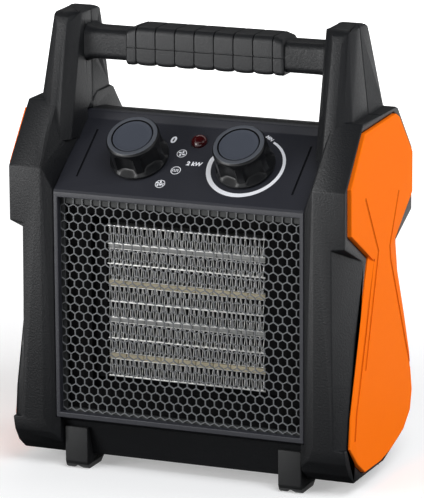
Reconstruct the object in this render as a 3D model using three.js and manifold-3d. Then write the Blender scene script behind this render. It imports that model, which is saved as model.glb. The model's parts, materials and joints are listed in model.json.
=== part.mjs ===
// A portable fan heater: two-part housing with a carrying handle, orange side
// panels, a hexagonal front grille, a sloping control panel and, inside, an
// axial fan that blows through a bank of ceramic heating elements.
// Millimetres. X runs to the right, Y to the back, Z up. The origin is on the
// ground under the middle of the housing.

import * as THREE from 'three';
import { mergeVertices } from 'three/addons/utils/BufferGeometryUtils.js';
import { ConvexGeometry } from 'three/addons/geometries/ConvexGeometry.js';
import Module from 'manifold-3d';

const wasm = await Module();
wasm.setup();

// ---------------------------------------------------------------- dimensions

// General
const clearance = 0.3;                      // between pieces that touch
const wall = 2.5;                           // moulded walls
const runningFit = 0.08;                    // a shaft in its bearing, on the radius
const airGap = 0.6;                         // rotor in its stator

// Housing
const halfWidth = 110.3;                    // cheek, outside
const frontY = -58.75;                      // cheek, front face
const rearY = 58.75;                        // cheek, rear face
const seamY = 1.5;                          // parting plane of the two shells
const bottomZ = 8.5;                        // underside
const faceTopZ = 192.5;                     // where the front face turns into the shoulder
const faceBottomZ = 33;                     // where the front face turns into the chin
const shoulderZ = 228.8;                    // top of the cheeks
const shoulderFrontY = -28.2;               // where the shoulder levels out
const shoulderRearY = 29.5;                 // where it falls away to the rear
const cheekInner = halfWidth - 20.7;        // inner edge of the cheek's front face
const centreHalf = halfWidth - 27.6;        // half width of the middle part
const sideRecess = 2;                       // seat of the orange panel in the cheek

// Waist of the cheeks
const waistZ = 158;                         // ledge at the front corner
const waistBackZ = 144;                     // ledge at its rear end
const waistBackY = -27.5;
const waistIn = halfWidth - 8.8;            // front corner below the ledge
const waistRearIn = halfWidth - 11.8;       // rear corner below the ledge
const waistFootIn = halfWidth - 7.3;        // front corner at the foot of the facet

// Posts of the handle
const postInner = centreHalf - 2.2;
const postOuterFoot = halfWidth - 7.1;      // outer face where it leaves the shoulder
const postOuterTop = halfWidth - 12.9;      // outer face near the top
const postFootZ = 205;
const postTopZ = 284;
const postHighZ = postTopZ - 6;             // the ends of its leaning faces
const postLowZ = postTopZ - 60;
const postLean = (postOuterFoot - postOuterTop) / (postHighZ - postLowZ);
const ridgeIn = halfWidth - 21.8;           // narrow front face of the post
const ridgeOut = halfWidth - 15.8;

// Middle part
const bezelY = -54.75;                      // front of the frame round the grille
const bezelTopZ = 177.6;
const openingHalf = centreHalf - 3.1;       // grille opening
const openingBottomZ = 37.5;
const openingTopZ = 174.2;
const panelFootY = -53.75;                  // lower edge of the control panel
const panelFootZ = 179;
const panelSlope = 35.67;                   // degrees from the horizontal
const panelLength = 60;                     // up the slope
const panelThick = 2.6;
const crestZ = 219.5;                       // top of the body under the handle
const backY = 55;                           // rear wall of the middle part

// Front grille
const meshY = -49.25;                       // front of the mesh
const meshThick = 0.8;
const meshHalf = centreHalf - 0.9;
const meshPitch = 12;                       // across the flats, two real cells to each one
const meshWire = 1.8;
const retainerThick = 2.4;
const retainerWidth = 4.4;                  // at the sides and below
const retainerTop = 7;

// Handle
const barZ = 261.8;
const barHeight = 19.5;
const barDepth = 21;
const barY = 1.5;
const barHalf = postInner + 11.5;
const barCorner = 5;
const gripHalf = 52.5;
const gripProud = 1.9;
const gripCrown = 1.4;                      // extra height of the grip between its sloping ends
const gripRamp = 6.5;
const gripGroove = 0.8;
const gripPitch = 12.9;

// Feet
const footWidth = 15.1;
const footOuter = centreHalf - 3.9;
const footInner = footOuter - footWidth;
const footFrontY = -50;
const footTopZ = 27.2;
const footLength = 28;
const footNotch = 2.8;
const chinBottomY = -40.5;
const chinTopY = -47.8;
const chinTopZ = 31;

// Controls
const knobX = 35;
const knobUp = 30.5;                        // up the slope
const knobHeight = 20.4;
const knobTop = 16.4;
const knobWaist = 16.3;
const knobBase = 18.6;
const knobLobes = 6;
const knobFlute = 2.4;                      // depth of the finger scoops
const knobTurn = 2.6;                       // where round the knob they start, in radians
const capRadius = 12.9;
const capThick = 1.6;
const stemRadius = 3;
const stemLength = 13;                      // above the panel
const stemDepth = 16;                       // below it
const knobGap = 0.9;                        // between knob and panel
const lampX = -1.4;
const lampUp = 47.5;
const lampRadius = 4.8;

// Heating element
const heaterHalf = 53.2;
const heaterBottomZ = 60.3;
const heaterTopZ = 155.9;
const heaterFrontY = -40.7;
const heaterDepth = 14;
const finRows = 8;
const finWaves = 13;
const finSheet = 0.7;
const stripThick = 3.8;
const endWidth = 7;
const ductHalf = 64;
const ductBottomZ = 50;
const ductTopZ = 166;

// Fan and motor
const fanZ = 108;
const tipGap = 2.5;                         // blade tips to the shroud
const fanBlades = 7;
const fanFrontY = 4;
const fanDepth = 18;
const hubRadius = 17;
const shroudRadius = 56.5;
const fanRadius = shroudRadius - tipGap;
const shroudHalf = shroudRadius + 16.5;
const shroudPlateY = -1.2;                  // rear face of the plate
const shroudRearY = 26.4;
const spindleRadius = 2.5;
const rotorRadius = 14;
const statorHalf = 28;
const statorFrontY = 31;
const statorDepth = 14;
const statorTop = 24;                       // above the shaft
const statorBottom = 50;                    // below the shaft
const yokeHeight = 14;
const coilHalf = 16.5;
const coilThick = 4.2;
const bridgeThick = 3.6;

// Rear grille, inlet and fasteners
const rearGrilleRadius = 62;
const rearGrilleRim = 5;
const rearGrilleThick = 3;
const rearSlots = 13;
const rearSlotHeight = 5;
const glandX = -66;
const glandZ = 34;
const glandRadius = 8.5;
const glandBore = 3.8;
const screwHead = 3.6;
const screwShank = 1.9;

// --------------------------------------------------------------- solid tools

function toSolid(geometry) {
  const merged = mergeVertices(stripped(geometry), 1e-3);
  return new wasm.Manifold(new wasm.Mesh({
    numProp: 3,
    vertProperties: new Float32Array(merged.attributes.position.array),
    triVerts: new Uint32Array(merged.index.array),
  }));
}

function stripped(geometry) {
  const copy = geometry.clone();
  copy.deleteAttribute('normal');
  copy.deleteAttribute('uv');
  return copy;
}

function toGeometry(solid) {
  const { vertProperties, triVerts } = solid.getMesh();
  const geometry = new THREE.BufferGeometry();
  geometry.setAttribute('position', new THREE.BufferAttribute(vertProperties, 3));
  geometry.setIndex(new THREE.BufferAttribute(triVerts, 1));
  geometry.computeVertexNormals();
  return geometry;
}

const union = (...solids) => solids.reduce((all, next) => all.add(next));
const minus = (solid, ...cutters) => cutters.reduce((rest, next) => rest.subtract(next), solid);

// Directions that a drawn outline and its depth are turned to.
const AXES = {
  x: [[0, 1, 0], [0, 0, 1], [1, 0, 0]],     // outline in Y and Z, depth along +X
  y: [[1, 0, 0], [0, 0, 1], [0, -1, 0]],    // outline in X and Z, depth along -Y
  z: [[1, 0, 0], [0, 1, 0], [0, 0, 1]],     // outline in X and Y, depth along +Z
};

function place(geometry, axis, start) {
  const [u, v, w] = AXES[axis].map((direction) => new THREE.Vector3(...direction));
  const matrix = new THREE.Matrix4().makeBasis(u, v, w);
  matrix.setPosition(w.clone().multiplyScalar(start));
  return geometry.applyMatrix4(matrix);
}

function shapeOf(points) {
  return new THREE.Shape(points.map(([a, b]) => new THREE.Vector2(a, b)));
}

// A prism on an outline, from one place to another along an axis.
function prism(outline, axis, from, to, segments = 6) {
  const shape = outline instanceof THREE.Shape ? outline : shapeOf(outline);
  const options = { depth: to - from, bevelEnabled: false, curveSegments: segments };
  const geometry = new THREE.ExtrudeGeometry(shape, options);
  return toSolid(place(geometry, axis, axis === 'y' ? -to : from));
}

function box(x0, x1, y0, y1, z0, z1) {
  const geometry = new THREE.BoxGeometry(x1 - x0, y1 - y0, z1 - z0);
  return toSolid(geometry.translate((x0 + x1) / 2, (y0 + y1) / 2, (z0 + z1) / 2));
}

// A turned solid on a profile of [radius, height] points, about Z.
function turned(profile, segments = 24) {
  const points = profile.map(([r, h]) => new THREE.Vector2(r, h));
  return toSolid(new THREE.LatheGeometry(points, segments).rotateX(Math.PI / 2));
}

// A plain round pin about Z.
function pin(radius, from, to, segments = 24) {
  return turned([[0, from], [radius, from], [radius, to], [0, to]], segments);
}

// A round bar along Y, at a place in X and Z.
function roundBar(x, z, radius, from, to, segments = 20) {
  const geometry = new THREE.CylinderGeometry(radius, radius, to - from, segments);
  return toSolid(geometry.translate(0, (from + to) / 2, 0)).translate([x, 0, z]);
}

function hull(points) {
  return toSolid(new ConvexGeometry(points.map((point) => new THREE.Vector3(...point))));
}

// Everything beyond the plane through a point, on the side its normal points to.
function beyond(point, normal) {
  const reach = 1000;
  const n = new THREE.Vector3(...normal).normalize();
  const turn = new THREE.Quaternion().setFromUnitVectors(new THREE.Vector3(0, 0, 1), n);
  const geometry = new THREE.BoxGeometry(reach, reach, reach).translate(0, 0, reach / 2);
  geometry.applyQuaternion(turn).translate(...point);
  return toSolid(geometry);
}

// Everything in front of the parting plane, or behind it.
const beforeSeam = () => beyond([0, seamY - clearance / 2, 0], [0, -1, 0]);
const behindSeam = () => beyond([0, seamY + clearance / 2, 0], [0, 1, 0]);

// The plane through three points, its normal turned to the side of a guide.
function normalOf(a, b, c, guide) {
  const [p, q, r] = [a, b, c].map((point) => new THREE.Vector3(...point));
  const n = q.sub(p).cross(r.sub(p)).normalize();
  return (n.dot(new THREE.Vector3(...guide)) < 0 ? n.negate() : n).toArray();
}

// Rings of equal length joined into one skin and closed at both ends.
function loft(rings) {
  const count = rings[0].length;
  const positions = rings.flat(2);
  const indices = [];
  for (let i = 0; i + 1 < rings.length; i++) {
    for (let j = 0; j < count; j++) {
      const k = (j + 1) % count;
      const [a, b, c, d] = [i * count + j, i * count + k, (i + 1) * count + k, (i + 1) * count + j];
      indices.push(a, b, c, a, c, d);
    }
  }
  const last = (rings.length - 1) * count;
  for (let j = 1; j + 1 < count; j++) {
    indices.push(0, j + 1, j, last, last + j, last + j + 1);
  }
  const geometry = new THREE.BufferGeometry();
  geometry.setAttribute('position', new THREE.Float32BufferAttribute(positions, 3));
  geometry.setIndex(indices);
  return toSolid(geometry);
}

const mirrored = (solid) => solid.mirror([1, 0, 0]);
const both = (solid) => union(solid, mirrored(solid));

function roundedRect(halfX, halfY, radius, cx = 0, cy = 0) {
  const shape = new THREE.Shape();
  const [ax, ay] = [halfX - radius, halfY - radius];
  shape.absarc(cx + ax, cy + ay, radius, 0, Math.PI / 2);
  shape.absarc(cx - ax, cy + ay, radius, Math.PI / 2, Math.PI);
  shape.absarc(cx - ax, cy - ay, radius, Math.PI, Math.PI * 1.5);
  shape.absarc(cx + ax, cy - ay, radius, Math.PI * 1.5, Math.PI * 2);
  return shape;
}

// ------------------------------------------------------------------ outlines

// Cheek seen from the side: [y, z], the same for the shell and, shrunk by a
// wall, for the space inside it.
function cheekOutline(inset = 0) {
  const i = inset;
  return [
    [frontY + i, faceBottomZ], [frontY + 2.2 + i, faceBottomZ - 9], [frontY + 7.7 + i, bottomZ + 7 + i * 0.5],
    [chinBottomY - 1.5 + i, bottomZ + i], [10, bottomZ + i], [rearY - 17 - i, bottomZ + 9 + i],
    [rearY - 4 - i, bottomZ + 20 + i], [rearY - i, bottomZ + 35], [rearY - i, shoulderZ - 31 - i * 0.4],
    [shoulderRearY + 3.5 - i * 0.4, shoulderZ - 1.8 - i], [shoulderRearY - i * 0.4, shoulderZ - i],
    [shoulderFrontY + i * 0.5, shoulderZ - i], [frontY + i, faceTopZ - i * 0.4],
  ];
}

const slope = THREE.MathUtils.degToRad(panelSlope);
const panelTopY = panelFootY + panelLength * Math.cos(slope);
const panelTopZ = panelFootZ + panelLength * Math.sin(slope);

// Middle part seen from the side, from the chin over the panel to the rear.
function middleOutline(inset = 0) {
  const i = inset;
  return [
    [chinBottomY + i, bottomZ + i], [10, bottomZ + i], [rearY - 17 - i, bottomZ + 9 + i],
    [backY - 3 - i, bottomZ + 20 + i], [backY - i, bottomZ + 35], [backY - i, crestZ - 26],
    [backY - 14 - i, crestZ - 9 - i], [22, crestZ - 2.5 - i], [seamY + 5, crestZ - i],
    [seamY - 4, crestZ - 0.8 - i], [panelTopY - 0.5, panelTopZ - i * 1.2],
    [panelFootY + i * 0.6, panelFootZ - i * 0.6], [bezelY + i, bezelTopZ - 1], [bezelY + i, chinTopZ + 3.5],
    [chinTopY + i, chinTopZ],
  ];
}

// Orange side panel seen from the right: [y, z].
const panelEdge = {
  topFront: [-29.6, 223.2], shoulder: [-53, 193.8], brow: [-52.8, 165.2], notch: [-20, 145.5],
  flank: [-33.2, 103], shin: [-50, 51.3], toe: [-52.5, 33], toeLow: [-40.5, 20.3], sole: [-28, 12],
  heel: [-1, 11.6], heelUp: [17, 14], calf: [40.5, 21], rearLow: [52.5, 30.5], rear: [55.7, 43],
  rearShin: [50.5, 68.5], rearFlank: [41.7, 97], rearUp: [32, 125], rearNotch: [29.5, 146],
  rearBrow: [54.5, 170.5], rearTop: [54.5, 196], rearShoulder: [31, 222.3], crown: [25, 225.2],
};
const panelCrease = {
  frontUpper: [-29, 191], frontWaist: [-6.5, 146], frontLower: [-28, 77],
  bandTop: [-13, 142], bandFlank: [-26, 101], bandShin: [-42.8, 53], bandToe: [-46, 37],
  rearUpper: [32, 186], rearWaist: [15.5, 144],
};
const panelThickness = 3.8;
const panelDip = {    // how far a corner lies below the flat face
  notch: 2.2, flank: 1.8, shin: 1.4, toe: 0.9, bandTop: 1, bandFlank: 0.6, bandShin: 0.2,
  rearNotch: 2.2, rearUp: 1.6, rearFlank: 0.8,
};

// An outline moved outwards along its own corners.
function grown(outline, amount) {
  const count = outline.length;
  return outline.map((point, i) => {
    const before = outline[(i + count - 1) % count];
    const after = outline[(i + 1) % count];
    const normals = [[before, point], [point, after]].map(([a, b]) => {
      const edge = new THREE.Vector2(b[0] - a[0], b[1] - a[1]).normalize();
      return new THREE.Vector2(edge.y, -edge.x);
    });
    const sum = normals[0].clone().add(normals[1]);
    const scale = amount * 2 / sum.lengthSq();
    return [point[0] + sum.x * scale, point[1] + sum.y * scale];
  });
}

// ------------------------------------------------------------- the housing

// Slanting inner wall of the cheek beside the control panel, and the chamfer
// beside the grille frame.
const cheekWallTop = [cheekInner + 1.6, shoulderFrontY, shoulderZ];
const cheekWallFoot = [centreHalf - 0.2, panelFootY, panelFootZ];
const cheekWallRear = [postInner - 1.5, panelTopY, panelTopZ];
const cheekWallNormal = normalOf(cheekWallTop, cheekWallFoot, cheekWallRear, [-1, 0, 0]);
const cheekStart = centreHalf - 2.7;
const cheekChamferNormal = normalOf([cheekInner, frontY, 0], [cheekInner, frontY, 9],
  [centreHalf, bezelY - 0.2, 0], [-1, -1, 0]);

function cheek(inset) {
  const side = halfWidth - (inset > 0 ? sideRecess + inset : 0);
  const block = prism(cheekOutline(inset), 'x', cheekStart + inset, side);
  const wallAt = [cheekWallTop[0] + inset, cheekWallTop[1], cheekWallTop[2]];
  const chamferAt = [cheekInner + inset, frontY, 0];
  return minus(block, beyond(wallAt, cheekWallNormal), beyond(chamferAt, cheekChamferNormal));
}

// Room cut off the outer corner below the waist, at the front or the rear: its
// face twists from a broad ledge down to a narrow chamfer beside the side panel.
const waistRows = [   // height on the corner, height on the side, depth on the side
  [waistZ - 0.8, waistBackZ, waistBackY - frontY], [109, 103, 22.4], [79, 76, 14.4],
  [54, 51.3, 7.4], [faceBottomZ, faceBottomZ, 5.2],
];

function waistFacet(y, towards, cornerX) {
  const at = (x, away, z) => [x, y + towards * away, z];
  const row = ([cornerZ, sideZ, depth], i) => {
    const x = cornerX + (waistFootIn - waistIn) * i / (waistRows.length - 1);
    return [at(x, 0, cornerZ), at(x, -1, cornerZ), at(halfWidth, depth, sideZ), at(halfWidth + 2, depth, sideZ),
      at(halfWidth + 2, -1, sideZ)];
  };
  const rows = waistRows.map(row);
  rows[0].push(at(halfWidth + 2, -1, waistZ + 1));
  return union(...rows.slice(1).map((lower, i) => hull([...rows[i], ...lower])));
}

// Handle post: a leaning blade with a narrow front face and a rounded top.
function post(inset) {
  const i = inset;
  const outline = [
    [-35.6 + i, postFootZ], [35, postFootZ], [27.2 - i, postTopZ - 54], [21.2 - i, postTopZ - 26],
    [17.2 - i, postTopZ - 10], [15 - i, postTopZ - 4 - i], [9.5 - i, postTopZ - 1 - i], [2, postTopZ - i],
    [-14 + i * 0.4, postTopZ - 1.6 - i], [-18.6 + i, postTopZ - 4.4 - i], [-20.6 + i, postTopZ - 9],
  ];
  const block = prism(outline, 'x', postInner + i, postOuterFoot + 4);
  const innerNormal = normalOf([ridgeIn, -33, postLowZ], [ridgeIn, -20.5, postHighZ],
    [postInner, -26, postLowZ], [-1, -1, 0]);
  const outerNormal = normalOf([ridgeOut, -31.4, postLowZ], [ridgeOut - 0.8, -20.2, postHighZ],
    [postOuterFoot, -26, postLowZ], [1, -1, 0]);
  return minus(block,
    beyond([postOuterFoot - i, 0, postLowZ], [1, 0, postLean]),
    beyond([ridgeIn + i, -33 + i, postLowZ], innerNormal),
    beyond([ridgeOut - i, -31.4 + i, postLowZ], outerNormal),
    beyond([postInner + 3.4 + i, 0, postTopZ - i], [-1, 0, 1.4]),
    beyond([postOuterTop - 3.4 - i, 0, postTopZ - i], [1, 0, 1.4]));
}

function recessInSide(side) {
  const outline = grown(Object.values(panelEdge).reverse(), -1);
  return prism(outline, 'x', side, side + 20);
}

// Wells, bosses and screws that pull the two shells together.
const bossRadius = 6;
const wellRadius = screwHead + 0.7;
const seatY = 14;
const shankEndY = -12;
const lowScrewX = halfWidth - sideRecess - wall - 9.8;
const highScrewX = halfWidth - sideRecess - wall - 13.8;
const postScrewX = postInner + 9;
const lowScrewZ = bottomZ + 43.5;
const highScrewZ = shoulderZ - 38.8;
const postScrewZ = shoulderZ + 13.2;
const screwPlaces = [
  { name: 'case_screw_1', x: -lowScrewX, z: lowScrewZ },
  { name: 'case_screw_2', x: lowScrewX, z: lowScrewZ },
  { name: 'case_screw_3', x: -highScrewX, z: highScrewZ },
  { name: 'case_screw_4', x: highScrewX, z: highScrewZ },
  { name: 'post_screw_left', x: -postScrewX, z: postScrewZ },
  { name: 'post_screw_right', x: postScrewX, z: postScrewZ },
];

const along = (place, radius, from, to) => roundBar(place.x, place.z, radius, from, to, 12);
const rearBoss = (place) => along(place, bossRadius, seamY + clearance / 2, rearY);
const frontBoss = (place) => union(along(place, bossRadius, shankEndY - 4, seamY - clearance / 2),
  box(place.x - 30, place.x + 30, shankEndY - 4, seamY - clearance / 2, place.z - 1, place.z + 1)
    .intersect(both(box(postInner + 1, halfWidth - sideRecess - 1, frontY, rearY, 0, postTopZ))));
const rearWell = (place) => union(along(place, wellRadius, seatY, rearY + 20),
  along(place, screwShank + clearance, -60, seatY + 1));
const frontHole = (place) => along(place, screwShank + clearance, shankEndY - 1, seamY + 5);

// The whole outer form with its posts, and the space inside.
const outerForm = union(
  both(minus(cheek(0), waistFacet(frontY, 1, waistIn), waistFacet(rearY, -1, waistRearIn))),
  prism(middleOutline(), 'x', -centreHalf, centreHalf),
  both(post(0)),
);
const innerSpace = union(
  both(minus(cheek(wall),
    waistFacet(frontY, 1, waistIn).translate([-wall - 0.6, wall, 0]),
    waistFacet(rearY, -1, waistRearIn).translate([-wall - 0.6, -wall, 0]))),
  prism(middleOutline(wall), 'x', -centreHalf - clearance, centreHalf + clearance),
  both(post(wall)),
);
const sideSeats = both(recessInSide(halfWidth - sideRecess));

// Room for the front panel and everything in front of it.
const roomFrontY = bezelY - 8;
const roomRearY = meshY + meshThick + 6;
const frontPanelRoom = prism([
  [roomFrontY, chinTopZ + 2.7], [roomRearY, chinTopZ + 2.7], [roomRearY, panelFootZ - 6],
  [seamY, panelTopZ - panelThick - 1.5], [seamY, crestZ + 1], [panelTopY - 1, crestZ + 1],
  [panelTopY - 1, panelTopZ + clearance], [panelFootY - clearance, panelFootZ + clearance],
  [roomFrontY, panelFootZ + clearance],
], 'x', -centreHalf, centreHalf);

const barShape = (grow) =>
  roundedRect(barDepth / 2 + grow, barHeight / 2 + grow, barCorner + grow, barY, barZ);
const barRoom = prism(barShape(clearance), 'x', -barHalf - clearance, barHalf + clearance);

// Seats for the bar inside the posts, just below and around it.
const barCradle = (from, to) => both(minus(
  box(postInner + 1, barHalf + 3, from, to, barZ - barHeight / 2 - 4, barZ + barHeight / 2 + 4),
  beyond([postOuterTop - 1, 0, postHighZ], [1, 0, postLean])));

function frontShell() {
  const skin = minus(outerForm, innerSpace, sideSeats, frontPanelRoom);
  const bosses = union(...screwPlaces.map(frontBoss)).intersect(outerForm);
  const cradle = barCradle(-13, seamY).intersect(outerForm);
  const whole = union(skin, bosses, cradle);
  return minus(whole.intersect(beforeSeam()), barRoom, ...screwPlaces.map(frontHole));
}

const rearGrilleY = backY + 0.8 - rearGrilleThick;
const rearOpening = roundBar(0, fanZ, rearGrilleRadius + clearance, backY - wall - 5, rearY + 5, 36);

// Posts that the fan shroud is screwed to.
const shroudPostX = shroudHalf - 6;
const shroudPosts = [-1, 1].flatMap((sx) => [46, 170].map((z) =>
  box(sx * shroudPostX - 4, sx * shroudPostX + 4, shroudPlateY + clearance, backY - 1, z - 4, z + 4)));

function rearShell() {
  const skin = minus(outerForm, innerSpace, sideSeats);
  const bosses = union(...screwPlaces.map(rearBoss)).intersect(outerForm);
  const cradle = barCradle(seamY, 14).intersect(outerForm);
  const whole = union(skin, bosses, cradle);
  const rim = minus(roundBar(0, fanZ, rearGrilleRadius + 4, backY - 6, rearGrilleY - clearance, 36),
    roundBar(0, fanZ, rearGrilleRadius - rearGrilleRim + 1.5, backY - 7, backY, 36));
  const glandHole = roundBar(glandX, glandZ, glandRadius - 2 + clearance, backY - 20, rearY + 5, 20);
  const behind = whole.intersect(behindSeam());
  const opened = minus(behind, rearOpening, barRoom, glandHole, ...screwPlaces.map(rearWell));
  return union(opened, rim, ...shroudPosts);
}

// Frame round the grille with the sloping control panel above it.
function frontPanel() {
  const lip = meshY - clearance;
  const under = (y) => panelFootZ - panelThick / Math.cos(slope) + (y - panelFootY) * Math.tan(slope);
  const outline = [
    [bezelY, chinTopZ + 3], [lip, chinTopZ + 3], [lip, under(lip)], [panelTopY, under(panelTopY)],
    [seamY - clearance, under(panelTopY)], [seamY - clearance, crestZ],
    [seamY - 4, crestZ - 0.8], [panelTopY, panelTopZ], [panelFootY, panelFootZ], [bezelY, bezelTopZ],
  ];
  const block = prism(outline, 'x', -centreHalf + clearance, centreHalf - clearance);
  const opening = box(-openingHalf, openingHalf, bezelY - 5, lip + 5, openingBottomZ, openingTopZ);
  const stems = [-1, 1].map((side) => onPanel(pin(stemRadius + 1.2, -9, 9), side * knobX, knobUp, 0));
  const lamp = onPanel(pin(lampRadius + clearance, -9, 9), lampX, lampUp, 0);
  return minus(block, opening, ...stems, lamp);
}

// Places a solid that is drawn upright on the control panel's slope.
function onPanel(solid, x, up, height) {
  const y = panelFootY + up * Math.cos(slope) - height * Math.sin(slope);
  const z = panelFootZ + up * Math.sin(slope) + height * Math.cos(slope);
  return solid.rotate([panelSlope, 0, 0]).translate([x, y, z]);
}

// Side panel: flat, with shallow facets falling to the notches of its waist.
function sidePanel() {
  const names = Object.keys(panelEdge);
  const points = { ...panelEdge, ...panelCrease };
  const seat = halfWidth - sideRecess + clearance;
  const face = seat + panelThickness;
  const facets = [
    ['shoulder', 'brow', 'frontUpper'], ['brow', 'notch', 'bandTop', 'frontWaist', 'frontUpper'],
    ['notch', 'flank', 'bandFlank', 'bandTop'], ['flank', 'shin', 'bandShin', 'bandFlank'],
    ['shin', 'toe', 'bandToe', 'bandShin'], ['bandTop', 'bandFlank', 'frontLower', 'frontWaist'],
    ['bandFlank', 'bandShin', 'frontLower'],
    ['rearShin', 'rearFlank', 'rearUp', 'rearNotch', 'rearWaist'],
    ['rearWaist', 'rearNotch', 'rearBrow', 'rearUpper'], ['rearUpper', 'rearBrow', 'rearTop'],
    ['topFront', 'shoulder', 'frontUpper', 'frontWaist', 'frontLower', 'bandShin', 'bandToe', 'toe',
      'toeLow', 'sole', 'heel', 'heelUp', 'calf', 'rearLow', 'rear', 'rearShin', 'rearWaist',
      'rearUpper', 'rearTop', 'rearShoulder', 'crown'],
  ];
  const corner = (name, x) => [x, ...points[name]];
  const top = (name) => corner(name, face - (panelDip[name] ?? 0));
  const triangles = [];
  for (const facet of facets) {
    const flat = facet.map((name) => new THREE.Vector2(...points[name]));
    for (const [a, b, c] of THREE.ShapeUtils.triangulateShape(flat, [])) {
      triangles.push(top(facet[a]), top(facet[b]), top(facet[c]));
    }
  }
  const flatEdge = names.map((name) => new THREE.Vector2(...points[name]));
  for (const [a, b, c] of THREE.ShapeUtils.triangulateShape(flatEdge, [])) {
    triangles.push(corner(names[a], seat), corner(names[c], seat), corner(names[b], seat));
  }
  names.forEach((name, i) => {
    const next = names[(i + 1) % names.length];
    triangles.push(top(name), corner(name, seat), corner(next, seat));
    triangles.push(top(name), corner(next, seat), top(next));
  });
  const geometry = new THREE.BufferGeometry();
  geometry.setAttribute('position', new THREE.Float32BufferAttribute(triangles.flat(), 3));
  return toSolid(geometry);
}

// ------------------------------------------------------------ grilles, feet

function hexagon(cx, cz, across) {
  const radius = across / Math.sqrt(3);
  return Array.from({ length: 6 }, (_, i) => {
    const angle = Math.PI / 2 + i * Math.PI / 3;
    return [cx + radius * Math.cos(angle), cz + radius * Math.sin(angle)];
  });
}

function frontGrille() {
  const shape = shapeOf([[-meshHalf, chinTopZ + 3.6], [meshHalf, chinTopZ + 3.6],
    [meshHalf, bezelTopZ - 1.4], [-meshHalf, bezelTopZ - 1.4]]);
  const rowStep = meshPitch * Math.sqrt(3) / 2;
  const field = openingHalf - meshWire;
  const half = (meshPitch - meshWire) / 2;
  const midZ = (openingBottomZ + openingTopZ) / 2;
  const rows = Math.floor((openingTopZ - openingBottomZ - meshPitch) / 2 / rowStep);
  for (let row = -rows; row <= rows; row++) {
    const shift = row % 2 === 0 ? 0 : meshPitch / 2;
    const columns = Math.floor((field - half - shift) / meshPitch);
    for (let column = -columns - (shift ? 1 : 0); column <= columns; column++) {
      const outline = hexagon(column * meshPitch + shift, midZ + row * rowStep, half * 2);
      shape.holes.push(new THREE.Path(outline.map(([x, z]) => new THREE.Vector2(x, z))));
    }
  }
  return prism(shape, 'y', meshY, meshY + meshThick);
}

const retainerY = meshY + meshThick + clearance;

function grilleRetainer() {
  const [low, high] = [chinTopZ + 3.6, bezelTopZ - 1.4];
  return minus(
    box(-meshHalf, meshHalf, retainerY, retainerY + retainerThick, low, high),
    box(-meshHalf + retainerWidth, meshHalf - retainerWidth, retainerY - 1, retainerY + retainerThick + 1,
      low + retainerWidth, high - retainerTop));
}

function rearGrille() {
  const disc = roundBar(0, fanZ, rearGrilleRadius, rearGrilleY, rearGrilleY + rearGrilleThick, 36);
  const [y0, y1] = [backY - 9, backY + 9];
  const pitch = 2 * (rearGrilleRadius - rearGrilleRim) / rearSlots;
  const slots = Array.from({ length: rearSlots }, (_, i) => {
    const z = fanZ + (i - (rearSlots - 1) / 2) * pitch - rearSlotHeight / 2;
    return box(-rearGrilleRadius, rearGrilleRadius, y0, y1, z, z + rearSlotHeight);
  });
  const field = roundBar(0, fanZ, rearGrilleRadius - rearGrilleRim, y0, y1, 36);
  const spine = box(-2.2, 2.2, y0, y1, fanZ - rearGrilleRadius, fanZ + rearGrilleRadius);
  return minus(disc, minus(union(...slots).intersect(field), spine));
}

function foot() {
  const chinBack = chinBottomY + 1;
  const outline = [
    [footFrontY, 5], [footFrontY + 1.3, 1.6], [footFrontY + 3.9, 0], [footFrontY + footLength - 7, 0],
    [footFrontY + footLength, 5], [footFrontY + footLength, bottomZ - clearance],
    [chinBack - 1.2, bottomZ - clearance], [chinTopY - clearance + 1, footTopZ], [footFrontY, footTopZ],
  ];
  const block = prism(outline, 'x', footInner, footOuter);
  const middle = (footInner + footOuter) / 2;
  const notch = toSolid(new THREE.CylinderGeometry(footNotch, footNotch, 200, 16));
  return minus(block, notch.translate([middle, 0, -0.4]));
}

// Rear foot, up to the slope of the underside.
function rearFoot() {
  const knee = rearY - 17;
  const under = (y) => bottomZ - clearance + (y < knee ? (y - 10) * 9 / (knee - 10) : 9 + (y - knee) * 0.9);
  const outline = [
    [20, 1.5], [21.5, 0], [43, 0], [46.5, 4], [46.5, under(46.5)], [knee, under(knee)], [20, under(20)],
  ];
  return prism(outline, 'x', footInner, footOuter);
}

// ---------------------------------------------------------------- the handle

function handleBar() {
  return prism(barShape(0), 'x', -barHalf, barHalf);
}

function handleGrip() {
  const rise = (x) => gripProud + gripCrown * Math.min(1, (gripHalf - Math.abs(x)) / gripRamp);
  const section = (x, trim) => {
    const top = barHeight / 2 + rise(x) - trim;
    const low = barHeight / 2 + gripProud - trim;
    const side = barDepth / 2 + gripProud - trim;
    const corner = 3.6;
    const outline = [
      [side, corner - low], [side, top - corner], [side - corner, top], [corner - side, top],
      [-side, top - corner], [-side, corner - low], [corner - side, -low], [side - corner, -low],
    ];
    return outline.map(([y, z]) => [x, barY + y, barZ + z]);
  };
  const rings = [section(-gripHalf, 0.5), section(-gripHalf + 1.2, 0)];
  const half = Math.round(gripHalf / gripPitch - 0.5);
  for (let i = -half; i < half; i++) {
    const x = (i + 0.5) * gripPitch;
    rings.push(section(x - 0.7, 0), section(x - 0.3, gripGroove));
    rings.push(section(x + 0.3, gripGroove), section(x + 0.7, 0));
  }
  rings.push(section(gripHalf - 1.2, 0), section(gripHalf, 0.5));
  return minus(loft(rings), prism(barShape(clearance), 'x', -gripHalf - 5, gripHalf + 5));
}

// -------------------------------------------------------------- the controls

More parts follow.
